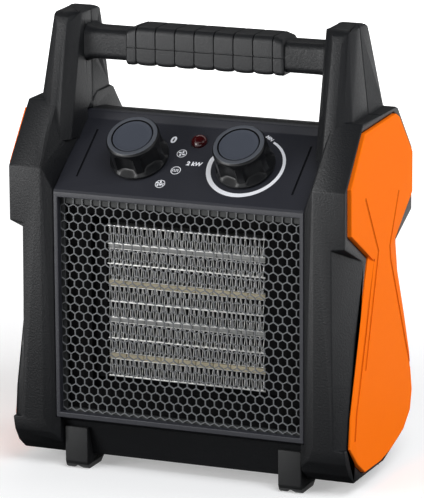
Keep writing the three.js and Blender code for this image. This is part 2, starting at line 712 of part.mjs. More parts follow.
function knob() {
  const around = 36;
  const ring = (radius, height, flute) => Array.from({ length: around }, (_, i) => {
    const angle = i / around * Math.PI * 2;
    const lobe = Math.max(0, Math.cos(angle * knobLobes + knobTurn) + 0.25) / 1.25;
    const r = radius - flute * lobe;
    return [r * Math.cos(angle), r * Math.sin(angle), height];
  });
  const body = loft([
    ring(knobBase, knobGap, 0), ring(knobBase, knobGap + 1.6, 0), ring(knobWaist + 0.9, 5, knobFlute),
    ring(knobWaist, 13, knobFlute), ring(knobTop, knobHeight - 4, 0), ring(knobTop, knobHeight - 0.8, 0),
    ring(knobTop - 0.8, knobHeight, 0),
  ]);
  const dish = pin(capRadius + clearance, knobHeight - capThick, knobHeight + 4, 32);
  const bore = pin(stemRadius + clearance, -2, stemLength + clearance);
  const hollow = turned([[stemRadius + 3, knobGap - 1], [knobWaist - 3.5, knobGap - 1],
    [knobWaist - 3.5, knobHeight - 7], [stemRadius + 3, knobHeight - 7], [stemRadius + 3, knobGap - 1]], 32);
  return minus(body, dish, bore, hollow);
}

// Disc let into the top of a knob.
function knobCap() {
  const low = knobHeight - capThick + clearance;
  const high = knobHeight - clearance;
  const profile = [[0, low], [capRadius, low], [capRadius, high - 0.4], [capRadius - 0.6, high], [0, high]];
  return turned(profile, 32);
}

// Control spindle with its flat, from inside the switch into the knob.
function stem() {
  const rod = pin(stemRadius, -stemDepth, stemLength);
  return minus(rod, box(-9, 9, stemRadius - 0.7, 9, 1, stemLength + 2));
}

// Body of a control below the panel, round a well for its spindle.
function controlBody(half, depth, collar) {
  const top = -panelThick - clearance;
  const block = prism(roundedRect(half, half, 2.5), 'z', top - depth, top);
  const neck = pin(collar, top - 1, -clearance);
  const well = pin(stemRadius + runningFit, -stemDepth - clearance, 4);
  return minus(union(block, neck), well);
}

function lens() {
  return turned([[0, -panelThick], [lampRadius - 0.6, -panelThick], [lampRadius - 0.6, clearance],
    [lampRadius, clearance], [lampRadius, 1], [lampRadius * 0.88, 2.2], [lampRadius * 0.6, 3.2],
    [lampRadius * 0.3, 3.7], [0, 3.8]], 20);
}

const lampHolder = () => turned([[0, -panelThick - 12], [lampRadius - 1.4, -panelThick - 12],
  [lampRadius - 1.4, -panelThick - 4], [lampRadius + 1.2, -panelThick - 4],
  [lampRadius + 1.2, -panelThick - clearance], [0, -panelThick - clearance]], 20);

// ------------------------------------------------------- the heating element

const heaterRearY = heaterFrontY + heaterDepth;
const rowHeight = (heaterTopZ - heaterBottomZ) / finRows;

// One corrugated ribbon of aluminium, seen from the front as a wave.
function finRow(row) {
  const paired = row % 2 === 0 ? 1 : 0;
  const low = heaterBottomZ + row * rowHeight + (paired ? clearance : stripThick / 2 + clearance);
  const high = heaterBottomZ + (row + 1) * rowHeight - (paired ? stripThick / 2 + clearance : clearance);
  const run = 2 * (heaterHalf - 1) / finWaves;
  const upper = [];
  const lower = [];
  for (let i = 0; i <= finWaves * 2; i++) {
    const x = -heaterHalf + 1 + i * run / 2;
    const crest = i % 2 === 1;
    upper.push([x, crest ? high : low + finSheet * 2.4]);
    lower.push([x, crest ? high - finSheet * 2.4 : low]);
  }
  return prism([...lower, ...upper.reverse()], 'y', heaterFrontY, heaterRearY);
}

// Flat aluminium tube with the ceramic stones in it, between two ribbons.
function ptcStrip(pair) {
  const z = heaterBottomZ + (2 * pair + 1) * rowHeight;
  const half = heaterHalf - 1;
  return box(-half, half, heaterFrontY + 1, heaterRearY - 1, z - stripThick / 2, z + stripThick / 2);
}

function heaterEnd() {
  const x0 = heaterHalf - 1 + clearance;
  const x1 = ductHalf - wall - clearance;
  const [low, high] = [heaterBottomZ - 1, heaterTopZ + 1];
  return minus(box(x0, x1, heaterFrontY - 1, heaterRearY + 1, low, high),
    box(x0 + endWidth - 2, ductHalf, heaterFrontY + 4, heaterRearY - 4, low + 7, high - 7));
}

// Rails above and below the element, between the two ends.
function heaterRail(z0, z1) {
  return box(-heaterHalf + 1, heaterHalf - 1, heaterFrontY, heaterRearY, z0, z1);
}

const ductFrontY = retainerY + retainerThick + clearance;
const ductRearY = shroudPlateY - wall - clearance;

function heaterDuct() {
  const tube = minus(
    box(-ductHalf, ductHalf, ductFrontY, ductRearY, ductBottomZ, ductTopZ),
    box(wall - ductHalf, ductHalf - wall, ductFrontY - 1, ductRearY + 1, ductBottomZ + wall, ductTopZ - wall));
  const flange = minus(
    box(-meshHalf, meshHalf, ductFrontY, ductFrontY + 1.6, chinTopZ + 3.6, bezelTopZ - 1.4),
    box(-ductHalf + 1, ductHalf - 1, ductFrontY - 1, ductFrontY + 3, ductBottomZ + 1, ductTopZ - 1));
  const shelf = (z0, z1) => box(-ductHalf + 1, ductHalf - 1, heaterFrontY, heaterRearY, z0, z1);
  return union(tube, flange, shelf(ductBottomZ + 1, heaterBottomZ - 3.6 - 2 * clearance),
    shelf(heaterTopZ + 3.6 + 2 * clearance, ductTopZ - 1));
}

const cutoutZ = ductTopZ + clearance;
const thermalCutout = () => union(
  box(-9, 9, -36, -24, cutoutZ, cutoutZ + 1.2),
  turned([[0, 0.6], [5.4, 0.6], [5.4, 6.4], [4.4, 7], [0, 7]], 20).translate([0, -30, cutoutZ]));

// ------------------------------------------------------------ fan and motor

function fanImpeller() {
  const hub = roundBar(0, 0, hubRadius, fanFrontY, fanFrontY + fanDepth, 32);
  const blade = (angle) => {
    const rings = [];
    for (let i = 0; i <= 4; i++) {
      const r = hubRadius - 2 + i / 4 * (fanRadius - hubRadius + 2);
      const pitch = THREE.MathUtils.degToRad(48 - i * 5);
      const chord = 14 + i * 4.5;
      const [c, s] = [Math.cos(pitch) * chord / 2, Math.min(Math.sin(pitch) * chord / 2, fanDepth / 2 - 1)];
      const t = 0.9;
      const y = fanFrontY + fanDepth / 2;
      rings.push([
        [-c, y - s - t, r], [0, y - t - 1, r], [c, y + s - t, r],
        [c, y + s + t, r], [0, y + t - 1, r], [-c, y - s + t, r],
      ]);
    }
    return loft(rings).rotate([0, angle, 0]);
  };
  const blades = Array.from({ length: fanBlades }, (_, i) => blade(i * 360 / fanBlades));
  const bore = roundBar(0, 0, spindleRadius + clearance, fanFrontY + 2, fanFrontY + fanDepth + 2, 20);
  return minus(union(hub, ...blades), bore).translate([0, 0, fanZ]);
}

const statorRearY = statorFrontY + statorDepth;
const shaftFrontY = fanFrontY + 2 + clearance;
const motorShaft = () => roundBar(0, fanZ, spindleRadius, shaftFrontY, statorRearY + bridgeThick + 2, 20);

function motorRotor() {
  return minus(roundBar(0, fanZ, rotorRadius, statorFrontY + 0.5, statorRearY - 0.5, 28),
    roundBar(0, fanZ, spindleRadius + clearance, statorFrontY, statorRearY, 20));
}

const yokeLow = fanZ - statorBottom;
const yokeHigh = yokeLow + yokeHeight;

function motorStator() {
  const block = box(-statorHalf, statorHalf, statorFrontY, statorRearY, yokeLow, fanZ + statorTop);
  const [y0, y1] = [statorFrontY - 1, statorRearY + 1];
  const window = box(-coilHalf - 2, coilHalf + 2, y0, y1, yokeHigh, yokeHigh + coilThick + 2);
  return minus(block, window, roundBar(0, fanZ, rotorRadius + airGap, y0, y1, 28));
}

function motorCoil() {
  const gap = clearance;
  return minus(
    box(-coilHalf, coilHalf, statorFrontY - gap - coilThick, statorRearY + gap + coilThick,
      yokeLow - gap - coilThick, yokeHigh + gap + coilThick),
    box(-coilHalf - 1, coilHalf + 1, statorFrontY - gap, statorRearY + gap, yokeLow - gap, yokeHigh + gap));
}

const bearingHole = (y0, y1) => roundBar(0, fanZ, spindleRadius + runningFit, y0, y1, 20);
const mountRearY = statorFrontY - clearance;

// Spider that carries the motor from the rear edge of the shroud.
function motorMount() {
  const y0 = mountRearY - bridgeThick;
  const hub = roundBar(0, fanZ, 15, y0, mountRearY, 28);
  const arms = [18, 162, 198, 342].map((angle) =>
    box(0, shroudRadius + 2, y0, mountRearY, -4, 4).rotate([0, -angle, 0]).translate([0, 0, fanZ]));
  return minus(union(hub, ...arms), bearingHole(y0 - 1, mountRearY + 1));
}

function motorBridge() {
  const y0 = statorRearY + clearance;
  const strap = box(-22, 22, y0, y0 + bridgeThick, fanZ - 8, fanZ + 8);
  return minus(strap, bearingHole(y0 - 1, y0 + bridgeThick + 1));
}

function fanShroud() {
  const plate = prism(roundedRect(shroudHalf, (ductTopZ - ductBottomZ) / 2 + 8, 6, 0, fanZ), 'y',
    shroudPlateY - wall, shroudPlateY);
  const ring = roundBar(0, fanZ, shroudRadius + wall, shroudPlateY - 1, shroudRearY, 40);
  return minus(union(plate, ring), roundBar(0, fanZ, shroudRadius, shroudPlateY - 9, shroudRearY + 1, 40));
}

// ------------------------------------------------------ wiring and fasteners

function terminalBlock() {
  const floor = bottomZ + wall + 3.2 + clearance;
  const block = box(36, 66, 6, 20, floor, floor + 11);
  const holes = [41, 51, 61].map((x) => box(x - 2.4, x + 2.4, 3, 23, floor + 2.5, floor + 6));
  return minus(block, ...holes);
}

function cableGland() {
  const outer = backY + clearance;
  const flange = roundBar(glandX, glandZ, glandRadius, outer, outer + 3, 24);
  const neck = roundBar(glandX, glandZ, glandRadius - 2, backY - wall - 5, outer + 1, 24);
  return minus(union(flange, neck), roundBar(glandX, glandZ, glandBore, backY - 20, outer + 9, 20));
}

function caseScrew(place) {
  const seat = seatY + clearance;
  const top = seat + 2.4;
  const slot = box(-0.5, 0.5, top - 1.1, top + 9, -2.2, 2.2);
  const cross = union(slot, slot.rotate([0, 90, 0])).translate([place.x, 0, place.z]);
  return minus(union(along(place, screwHead, seat, top), along(place, screwShank, shankEndY, seat + 1)), cross);
}

// ------------------------------------------------------------------ assembly

const finishes = {
  black: { color: 0x3a3b3d, roughness: 0.62, metalness: 0 },
  panel: { color: 0x343539, roughness: 0.6, metalness: 0 },
  orange: { color: 0xff8226, roughness: 0.45, metalness: 0 },
  steel: { color: 0x2a2b2c, roughness: 0.45, metalness: 0.4 },
  bright: { color: 0xc9c8c2, roughness: 0.35, metalness: 0.9 },
  rubber: { color: 0x2e2f32, roughness: 0.8, metalness: 0 },
  cap: { color: 0x4a4e59, roughness: 0.55, metalness: 0 },
  red: { color: 0x7a1512, roughness: 0.15, metalness: 0 },
  ceramic: { color: 0xd8c9a8, roughness: 0.7, metalness: 0 },
  copper: { color: 0xb4552a, roughness: 0.4, metalness: 0.6 },
  lamination: { color: 0x6a6d70, roughness: 0.5, metalness: 0.8 },
};

const heater = new THREE.Group();
const housing = new THREE.Group();
const controls = new THREE.Group();
const element = new THREE.Group();
const fan = new THREE.Group();
heater.add(housing, controls, element, fan);

function piece(group, name, solid, finish) {
  const mesh = new THREE.Mesh(toGeometry(solid), new THREE.MeshStandardMaterial(finishes[finish]));
  mesh.name = name;
  group.add(mesh);
}

piece(housing, 'front_shell', frontShell(), 'black');
piece(housing, 'rear_shell', rearShell(), 'black');
piece(housing, 'front_panel', frontPanel(), 'panel');
piece(housing, 'side_panel_right', sidePanel(), 'orange');
piece(housing, 'side_panel_left', mirrored(sidePanel()), 'orange');
piece(housing, 'front_grille', frontGrille(), 'steel');
piece(housing, 'grille_retainer', grilleRetainer(), 'black');
piece(housing, 'rear_grille', rearGrille(), 'black');
piece(housing, 'front_foot_right', foot(), 'rubber');
piece(housing, 'front_foot_left', mirrored(foot()), 'rubber');
piece(housing, 'rear_foot_right', rearFoot(), 'rubber');
piece(housing, 'rear_foot_left', mirrored(rearFoot()), 'rubber');
piece(housing, 'handle_bar', handleBar(), 'black');
piece(housing, 'handle_grip', handleGrip(), 'rubber');
piece(housing, 'cable_gland', cableGland(), 'black');
piece(housing, 'terminal_block', terminalBlock(), 'ceramic');
screwPlaces.forEach((place) => piece(housing, place.name, caseScrew(place), 'steel'));

const controlSets = [
  { name: 'selector', side: -1, half: 13, depth: 18 },
  { name: 'thermostat', side: 1, half: 14, depth: 17 },
];
controlSets.forEach(({ name, side, half, depth }) => {
  const set = (solid) => onPanel(solid, side * knobX, knobUp, 0);
  piece(controls, `${name}_knob`, set(knob()), 'black');
  piece(controls, `${name}_knob_cap`, set(knobCap()), 'cap');
  piece(controls, `${name}_spindle`, set(stem()), 'bright');
  piece(controls, `${name}_body`, set(controlBody(half, depth, stemRadius + 1)), 'ceramic');
});
piece(controls, 'indicator_lens', onPanel(lens(), lampX, lampUp, 0), 'red');
piece(controls, 'indicator_lamp', onPanel(lampHolder(), lampX, lampUp, 0), 'ceramic');

for (let row = 0; row < finRows; row++) {
  piece(element, `heater_fin_${row + 1}`, finRow(row), 'bright');
}
for (let pair = 0; pair < finRows / 2; pair++) {
  piece(element, `ptc_strip_${pair + 1}`, ptcStrip(pair), 'bright');
}
piece(element, 'heater_end_right', heaterEnd(), 'black');
piece(element, 'heater_end_left', mirrored(heaterEnd()), 'black');
piece(element, 'heater_rail_top', heaterRail(heaterTopZ + clearance, heaterTopZ + 3.6), 'bright');
piece(element, 'heater_rail_bottom', heaterRail(heaterBottomZ - 3.6, heaterBottomZ - clearance), 'bright');
piece(element, 'heater_duct', heaterDuct(), 'black');
piece(element, 'thermal_cutout', thermalCutout(), 'bright');

piece(fan, 'fan_impeller', fanImpeller(), 'panel');
piece(fan, 'motor_shaft', motorShaft(), 'bright');
piece(fan, 'motor_rotor', motorRotor(), 'lamination');
piece(fan, 'motor_stator', motorStator(), 'lamination');
piece(fan, 'motor_coil', motorCoil(), 'copper');
piece(fan, 'motor_mount', motorMount(), 'black');
piece(fan, 'motor_bridge', motorBridge(), 'bright');
piece(fan, 'fan_shroud', fanShroud(), 'black');

export default heater;
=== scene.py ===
"""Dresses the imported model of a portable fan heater: black housing with orange
side panels, hexagonal guard mesh over a ceramic heating element, two control
knobs and a handle with a rubber grip. Metres; X right, Y back, Z up. The sizes
and places of the object's own pieces are written in millimetres."""
import json
import math
import bmesh
import bpy
from mathutils import Matrix, Vector
from mathutils.bvhtree import BVHTree

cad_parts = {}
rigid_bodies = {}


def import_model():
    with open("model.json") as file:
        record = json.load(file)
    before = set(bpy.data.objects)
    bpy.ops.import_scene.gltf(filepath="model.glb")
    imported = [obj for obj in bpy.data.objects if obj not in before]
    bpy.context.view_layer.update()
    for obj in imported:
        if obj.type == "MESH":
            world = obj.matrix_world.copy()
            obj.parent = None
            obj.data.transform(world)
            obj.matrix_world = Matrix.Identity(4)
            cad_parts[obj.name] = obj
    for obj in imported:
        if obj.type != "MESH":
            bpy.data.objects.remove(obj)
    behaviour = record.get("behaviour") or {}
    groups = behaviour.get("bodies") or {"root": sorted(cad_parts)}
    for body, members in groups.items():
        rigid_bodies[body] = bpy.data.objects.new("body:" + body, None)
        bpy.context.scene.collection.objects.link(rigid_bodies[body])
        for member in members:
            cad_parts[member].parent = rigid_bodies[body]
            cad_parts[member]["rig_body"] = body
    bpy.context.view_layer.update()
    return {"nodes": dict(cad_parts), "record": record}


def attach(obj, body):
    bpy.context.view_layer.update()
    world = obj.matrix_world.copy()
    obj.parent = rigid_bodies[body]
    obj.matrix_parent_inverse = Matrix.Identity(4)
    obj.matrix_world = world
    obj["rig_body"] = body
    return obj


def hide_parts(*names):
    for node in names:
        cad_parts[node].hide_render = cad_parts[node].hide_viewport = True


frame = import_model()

MM = 0.001
nodes = frame["nodes"]
slots = {part["node"]: part["material_slot"] for part in frame["record"]["subparts"]}

# --- small tools ---


def linear(code, share=1.0):
    """A colour written as an sRGB hex code, as linear red, green, blue and alpha,
    made darker or lighter by a share."""
    parts = [int(code[i:i + 2], 16) / 255 for i in (1, 3, 5)]
    light = [v / 12.92 if v <= 0.04045 else ((v + 0.055) / 1.055) ** 2.4 for v in parts]
    return [min(1.0, v * share) for v in light] + [1.0]


def in_metres(value):
    """A size or a place that was in millimetres. A whole number is a count and
    stays as it is."""
    if isinstance(value, tuple):
        return tuple(v * MM for v in value)
    return value if isinstance(value, int) else value * MM


def add(tree, kind, values=None):
    """Adds a node to a tree and returns its outputs. Values are the node's
    properties and inputs: a socket, or each of a list of them, feeds the input."""
    made = tree.nodes.new(kind)
    for name, value in (values or {}).items():
        sources = value if isinstance(value, list) else [value]
        if isinstance(sources[0], bpy.types.NodeSocket):
            for source in sources:
                tree.links.new(source, made.inputs[name])
        elif isinstance(name, str) and hasattr(made, name):
            setattr(made, name, value)
        else:
            made.inputs[name].default_value = value
    return made.outputs


def new_material(name):
    """A material with an empty node tree."""
    material = bpy.data.materials.new(name)
    material.use_nodes = True
    material.node_tree.nodes.clear()
    return material, material.node_tree


def as_mesh(name, bm):
    """Turns a bmesh into a mesh and frees it."""
    mesh = bpy.data.meshes.new(name)
    bm.to_mesh(mesh)
    bm.free()
    return mesh


def mesh_from(name, build):
    """A mesh made by a function that fills a bmesh in millimetres."""
    bm = bmesh.new()
    build(bm)
    bmesh.ops.scale(bm, vec=(MM, MM, MM), verts=bm.verts)
    return as_mesh(name, bm)


def new_object(name, mesh, material, body, slot, replaced=(), smooth_angle=40):
    """Puts a finished mesh into the scene as a piece that rides on a body. Only
    edges above the angle stay sharp, or all of them where it is 0."""
    obj = bpy.data.objects.new(name, mesh)
    bpy.context.scene.collection.objects.link(obj)
    mesh.materials.clear()
    mesh.materials.append(material)
    if smooth_angle:
        mesh.polygons.foreach_set("use_smooth", [True] * len(mesh.polygons))
        mesh.set_sharp_from_angle(angle=math.radians(smooth_angle))
    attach(obj, body)
    if replaced:
        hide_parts(*replaced)
    return obj


def new_piece(name, build, *looks, **more):
    """A piece whose mesh a function fills in millimetres. The rest is as in
    new_object: material, body, slot, replaced nodes and smoothing angle. The slot is not used."""
    return new_object(name, mesh_from(name, build), *looks, **more)


def rings_to_mesh(bm, rings):
    """Joins rings of equal length into one skin and closes both ends."""
    rows = [[bm.verts.new(p) for p in ring] for ring in rings]
    count = len(rows[0])
    for low, high in zip(rows, rows[1:]):
        for i in range(count):
            j = (i + 1) % count
            bm.faces.new((low[i], low[j], high[j], high[i]))
    bm.faces.new(list(reversed(rows[0])))
    bm.faces.new(rows[-1])


def block(bm, left, right, front, back, low, high, chamfer, segments=2):
    """A bar with small chamfers along its edges."""
    size = Matrix.Diagonal((right - left, back - front, high - low, 1))
    middle = Vector(((left + right) / 2, (front + back) / 2, (low + high) / 2))
    made = bmesh.ops.create_cube(bm, size=1, matrix=Matrix.Translation(middle) @ size)["verts"]
    edges = {e for v in made for e in v.link_edges}
    bmesh.ops.bevel(bm, geom=list(edges), offset=chamfer, segments=segments, profile=0.5, affect="EDGES")


# --- materials ---

GRAIN = 0.9              # between grains of a moulded texture; the real 0.3 mm is too fine to show
CLOUD = 35.7             # between slow changes of tone in a moulding
GRAIN_GLOSS = 0.05       # how far the grain moves the roughness to each side
ROLLING = 2.5            # between rolling or drawing marks of a metal
FIN_SPOT = 2.38          # between duller and brighter spots of a cut fin edge
LENS_STREAK = 2.86       # between streaks in the lens's painted glow
ELEMENT_FRONT = -40.7    # front edges of the folded ribbons
BRIGHT_EDGE = 1.2        # how far back a ribbon stays bright, before its painted shade


def moulded(name, colour, roughness, grain=GRAIN, depth=0.05, mottling=0.08, specular=0.5):
    """Injection-moulded plastic: one colour all through, a fine etched grain
    that breaks up the shine, and slow changes of tone from flow and handling."""
    material, tree = new_material(name)
    place = add(tree, "ShaderNodeTexCoord")["Object"]
    grains = add(tree, "ShaderNodeTexNoise", {
        "Scale": 1 / (grain * MM), "Detail": 2.0, "Roughness": 0.6, "Vector": place})["Fac"]
    clouds = add(tree, "ShaderNodeTexNoise", {
        "Scale": 1 / (CLOUD * MM), "Detail": 3.0, "Roughness": 0.55, "Vector": place})["Fac"]
    tone = add(tree, "ShaderNodeMix", {
        "data_type": "RGBA", 0: clouds, 6: linear(colour, 1 - mottling), 7: linear(colour, 1 + mottling)})[2]
    gloss = add(tree, "ShaderNodeMapRange", {
        "From Min": 0.3, "From Max": 0.7, "To Min": roughness - GRAIN_GLOSS,
        "To Max": roughness + GRAIN_GLOSS, "Value": grains})[0]
    bump = add(tree, "ShaderNodeBump", {"Strength": 1.0, "Distance": depth * MM, "Height": grains})[0]
    shader = add(tree, "ShaderNodeBsdfPrincipled", {
        "IOR": 1.53, "Specular IOR Level": specular, "Base Color": tone, "Roughness": gloss,
        "Normal": bump})[0]
    add(tree, "ShaderNodeOutputMaterial", {"Surface": shader})
    return material


def metal(name, colour, roughness, fineness=(1, 1, 1)):
    """Bare or plated metal with rolling or drawing marks, which the fineness
    makes so many times closer along each axis."""
    material, tree = new_material(name)
    place = add(tree, "ShaderNodeTexCoord")["Object"]
    drawn = add(tree, "ShaderNodeMapping", {"Scale": fineness, "Vector": place})[0]
    marks = add(tree, "ShaderNodeTexNoise", {
        "Scale": 1 / (ROLLING * MM), "Detail": 3.0, "Vector": drawn})["Fac"]
    gloss = add(tree, "ShaderNodeMapRange", {
        "To Min": roughness - 0.08, "To Max": roughness + 0.12, "Value": marks})[0]
    tone = add(tree, "ShaderNodeMix", {
        "data_type": "RGBA", 0: marks, 6: linear(colour, 0.85), 7: linear(colour)})[2]
    bump = add(tree, "ShaderNodeBump", {"Strength": 0.6, "Distance": 0.01 * MM, "Height": marks})[0]
    shader = add(tree, "ShaderNodeBsdfPrincipled", {
        "Metallic": 1.0, "Base Color": tone, "Roughness": gloss, "Normal": bump})[0]
    add(tree, "ShaderNodeOutputMaterial", {"Surface": shader})
    return material


def fin_stock():
    """Thin aluminium strip on edge: bright along its cut front edge, and darker
    farther back, where the folds catch little light: painted shade, with some dust."""
    material, tree = new_material("aluminium_fin_painted_shade")
    place = add(tree, "ShaderNodeTexCoord")["Object"]
    back = add(tree, "ShaderNodeSeparateXYZ", {0: place})["Y"]
    depth = add(tree, "ShaderNodeMapRange", {
        "From Min": ELEMENT_FRONT * MM, "From Max": (ELEMENT_FRONT + BRIGHT_EDGE) * MM, "Value": back})[0]
    spots = add(tree, "ShaderNodeTexNoise", {
        "Scale": 1 / (FIN_SPOT * MM), "Detail": 1.0, "Vector": place})["Fac"]
    edge = add(tree, "ShaderNodeMix", {
        "data_type": "RGBA", 0: spots, 6: linear("#b9b9b6"), 7: linear("#f4f4f2")})[2]
    # painted shade: the colour turns dark grey farther back in the folds
    tone = add(tree, "ShaderNodeMix", {"data_type": "RGBA", 0: depth, 6: edge, 7: linear("#2e2f2f")})[2]
    shader = add(tree, "ShaderNodeBsdfPrincipled", {
        "Metallic": 0.7, "Roughness": 0.42, "Base Color": tone})[0]
    add(tree, "ShaderNodeOutputMaterial", {"Surface": shader})
    return material


def clear_red():
    """Lens of the pilot lamp: clear red polycarbonate, dark where no light is on
    and painted paler towards its outline, as light that comes out again."""
    material, tree = new_material("red_polycarbonate_painted_glow")
    place = add(tree, "ShaderNodeTexCoord")["Object"]
    facing = add(tree, "ShaderNodeLayerWeight", {"Blend": 0.35})["Facing"]
    streaks = add(tree, "ShaderNodeTexNoise", {
        "Scale": 1 / (LENS_STREAK * MM), "Detail": 1.0, "Vector": place})["Fac"]
    # painted light: the lens colour is paler at its outline, in streaks
    painted_glow = add(tree, "ShaderNodeMath", {"operation": "MULTIPLY", 0: facing, 1: streaks})[0]
    tone = add(tree, "ShaderNodeMix", {
        "data_type": "RGBA", 0: painted_glow, 6: linear("#280305"), 7: linear("#7a1517")})[2]
    shader = add(tree, "ShaderNodeBsdfPrincipled", {
        "Roughness": 0.22, "IOR": 1.58, "Coat Weight": 0.3, "Coat Roughness": 0.1, "Base Color": tone})[0]
    add(tree, "ShaderNodeOutputMaterial", {"Surface": shader})
    return material


# ABS: coarse matt texture on the shells, finer on the control panel, satin on
# the knobs. Grooves are darker with painted shade and hardly shine.
housing_abs = moulded("charcoal_abs_textured", "#17181a", 0.5, grain=1.2, depth=0.22, mottling=0.14,
                      specular=0.34)
panel_abs = moulded("charcoal_abs_fine", "#28292f", 0.5, depth=0.06)
# painted shade: the groove material is a darker charcoal than the panel
panel_groove_shade = moulded("charcoal_abs_groove_painted_shade", "#151618", 0.7, specular=0.1)
knob_abs = moulded("knob_abs_satin", "#0f1012", 0.36, grain=0.7, depth=0.015, specular=0.36)
cap_abs = moulded("slate_knob_cap", "#42464f", 0.5, grain=0.7, depth=0.03, specular=0.4)
rim_abs = moulded("slate_knob_rim", "#4d5056", 0.42, grain=0.7, depth=0.03)
# Orange ABS: smooth and even in colour, with hardly any shine.
orange_abs = moulded("orange_abs_satin", "#ff7612", 0.6, depth=0.02, mottling=0.02, specular=0.04)
# painted shade: the groove material is a darker orange than the panel
orange_groove_shade = moulded("orange_abs_groove_painted_shade", "#e0640f", 0.7, specular=0.04)
# Other mouldings: dull nylon inside, soft rubber, cream PBT terminals.
inner_nylon = moulded("sooty_black_nylon", "#0b0b0c", 0.8, specular=0.08)
backing_nylon = moulded("grey_nylon_backing", "#2a2c2c", 0.6, grain=1.2, mottling=0.25)
grip_rubber = moulded("black_tpe_rubber", "#191a1c", 0.5, grain=1.1, depth=0.12, specular=0.4)
foot_rubber = moulded("black_foot_rubber", "#1d1e1f", 0.6, grain=1.0, specular=0.4)
cream_pbt = moulded("cream_pbt", "#cfc4a8", 0.5)
# Coatings: pad-printed ink, and powder paint with a fine orange peel.
white_ink = moulded("white_pad_print", "#e9eaee", 0.5, depth=0.01, mottling=0.04)
mesh_steel = moulded("grey_powder_coated_steel", "#6c6e70", 0.4, grain=0.6, depth=0.02)
# The element: folded strip, bare plate edges, foil-wrapped strips, fired ceramic.
fin_aluminium = fin_stock()
bright_aluminium = metal("bare_aluminium_edge", "#cfcfcd", 0.4)
wrapped_aluminium = moulded("dull_aluminium_wrap", "#8f908e", 0.45, grain=1.4, depth=0.1, mottling=0.35)
heater_ceramic = moulded("fired_heater_ceramic", "#a89f86", 0.6, grain=1.6, mottling=0.3)
# Fasteners and motor: the core's sheets and the coil's wire show as fine lines.
plated_steel = metal("zinc_plated_steel", "#b9bbbd", 0.35)
core_steel = metal("laminated_core_steel", "#7b7e82", 0.45, fineness=(1, 30, 1))
copper_wire = metal("enamelled_copper_wire", "#b3562c", 0.38, fineness=(1, 1, 24))
lens_red = clear_red()

slot_finish = {
    "shell_plastic": housing_abs, "panel_plastic": panel_abs, "orange_plastic": orange_abs,
    "grille_steel": mesh_steel, "inner_plastic": inner_nylon, "foot_rubber": foot_rubber,
    "grip_rubber": grip_rubber, "knob_plastic": knob_abs, "cap_plastic": cap_abs, "lens_plastic": lens_red,
    "terminal_plastic": cream_pbt, "screw_steel": plated_steel, "fin_aluminium": fin_aluminium,
    "core_steel": core_steel, "coil_copper": copper_wire,
}
node_finish = {"grille_retainer": backing_nylon}
for node, obj in nodes.items():
    obj.data.materials.clear()
    obj.data.materials.append(node_finish.get(node) or slot_finish[slots[node]])

# --- shells and panels ---

WELD = 0.02              # corners closer than this are one
GROOVE_OVERLAP = 0.6     # how much longer a groove's cutter is than its line, as a share of its width
CREASE_WIDTH, CREASE_DEPTH = 2.2, 0.4
CREASES = (((-29, 183), (-6.5, 146), (-8.5, 139), (-28, 77)),     # (y, z) points on an orange panel
           ((29, 176), (13.5, 145), (15, 136), (45, 72), (52, 59)),
           ((-13, 142), (-26, 101), (-42.8, 53), (-46, 37)))
OUTSIDE = 200            # from the middle plane, well outside the housing
SEAM_INSET, SEAM_HEIGHT = 0.9, 0.22

SLOPE = math.radians(35.67)                          # of the control panel
PANEL_FOOT = Vector((0, -53.75, 179.0))              # middle of its lower edge
UP_SLOPE = Vector((0, math.cos(SLOPE), math.sin(SLOPE)))
OUTWARDS = Vector((0, -math.sin(SLOPE), math.cos(SLOPE)))
PANEL_LINE_X, PANEL_LINE_LOW, PANEL_LINE_HIGH = 71, 12, 51
PANEL_LINE_WIDTH, PANEL_LINE_DEPTH = 1.3, 0.6


def on_panel(x, up, height=0.0):
    """A place on the control panel, or at a height above it."""
    return PANEL_FOOT + Vector((x, 0, 0)) + UP_SLOPE * up + OUTWARDS * height


def cleaned(node):
    """A CAD solid as a bmesh with its flat faces joined up."""
    bm = bmesh.new()
    bm.from_mesh(nodes[node].data)
    bmesh.ops.remove_doubles(bm, verts=bm.verts, dist=WELD * MM)
    bmesh.ops.dissolve_degenerate(bm, edges=bm.edges, dist=WELD * MM)
    bmesh.ops.dissolve_limit(bm, angle_limit=math.radians(1.0), verts=bm.verts, edges=bm.edges,
                             use_dissolve_boundaries=False)
    return bm


def rounded(node, material, radius=0.8, min_angle=18, min_length=5.0):
    """Stands in for a CAD solid, with the edges that a mould maker would round
    made round: those that are sharp, and long enough to see."""
    bm = cleaned(node)
    edges = [e for e in bm.edges if len(e.link_faces) == 2 and e.calc_length() > min_length * MM
             and e.calc_face_angle(0) > math.radians(min_angle)]
    bmesh.ops.bevel(bm, geom=edges, offset=radius * MM, offset_type="OFFSET", segments=3, profile=0.5,
                    affect="EDGES", clamp_overlap=False)
    bmesh.ops.remove_doubles(bm, verts=bm.verts, dist=WELD / 2 * MM)
    name = node + "_moulded"
    return new_object(name, as_mesh(name, bm), material, nodes[node]["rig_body"], slots[node], [node])


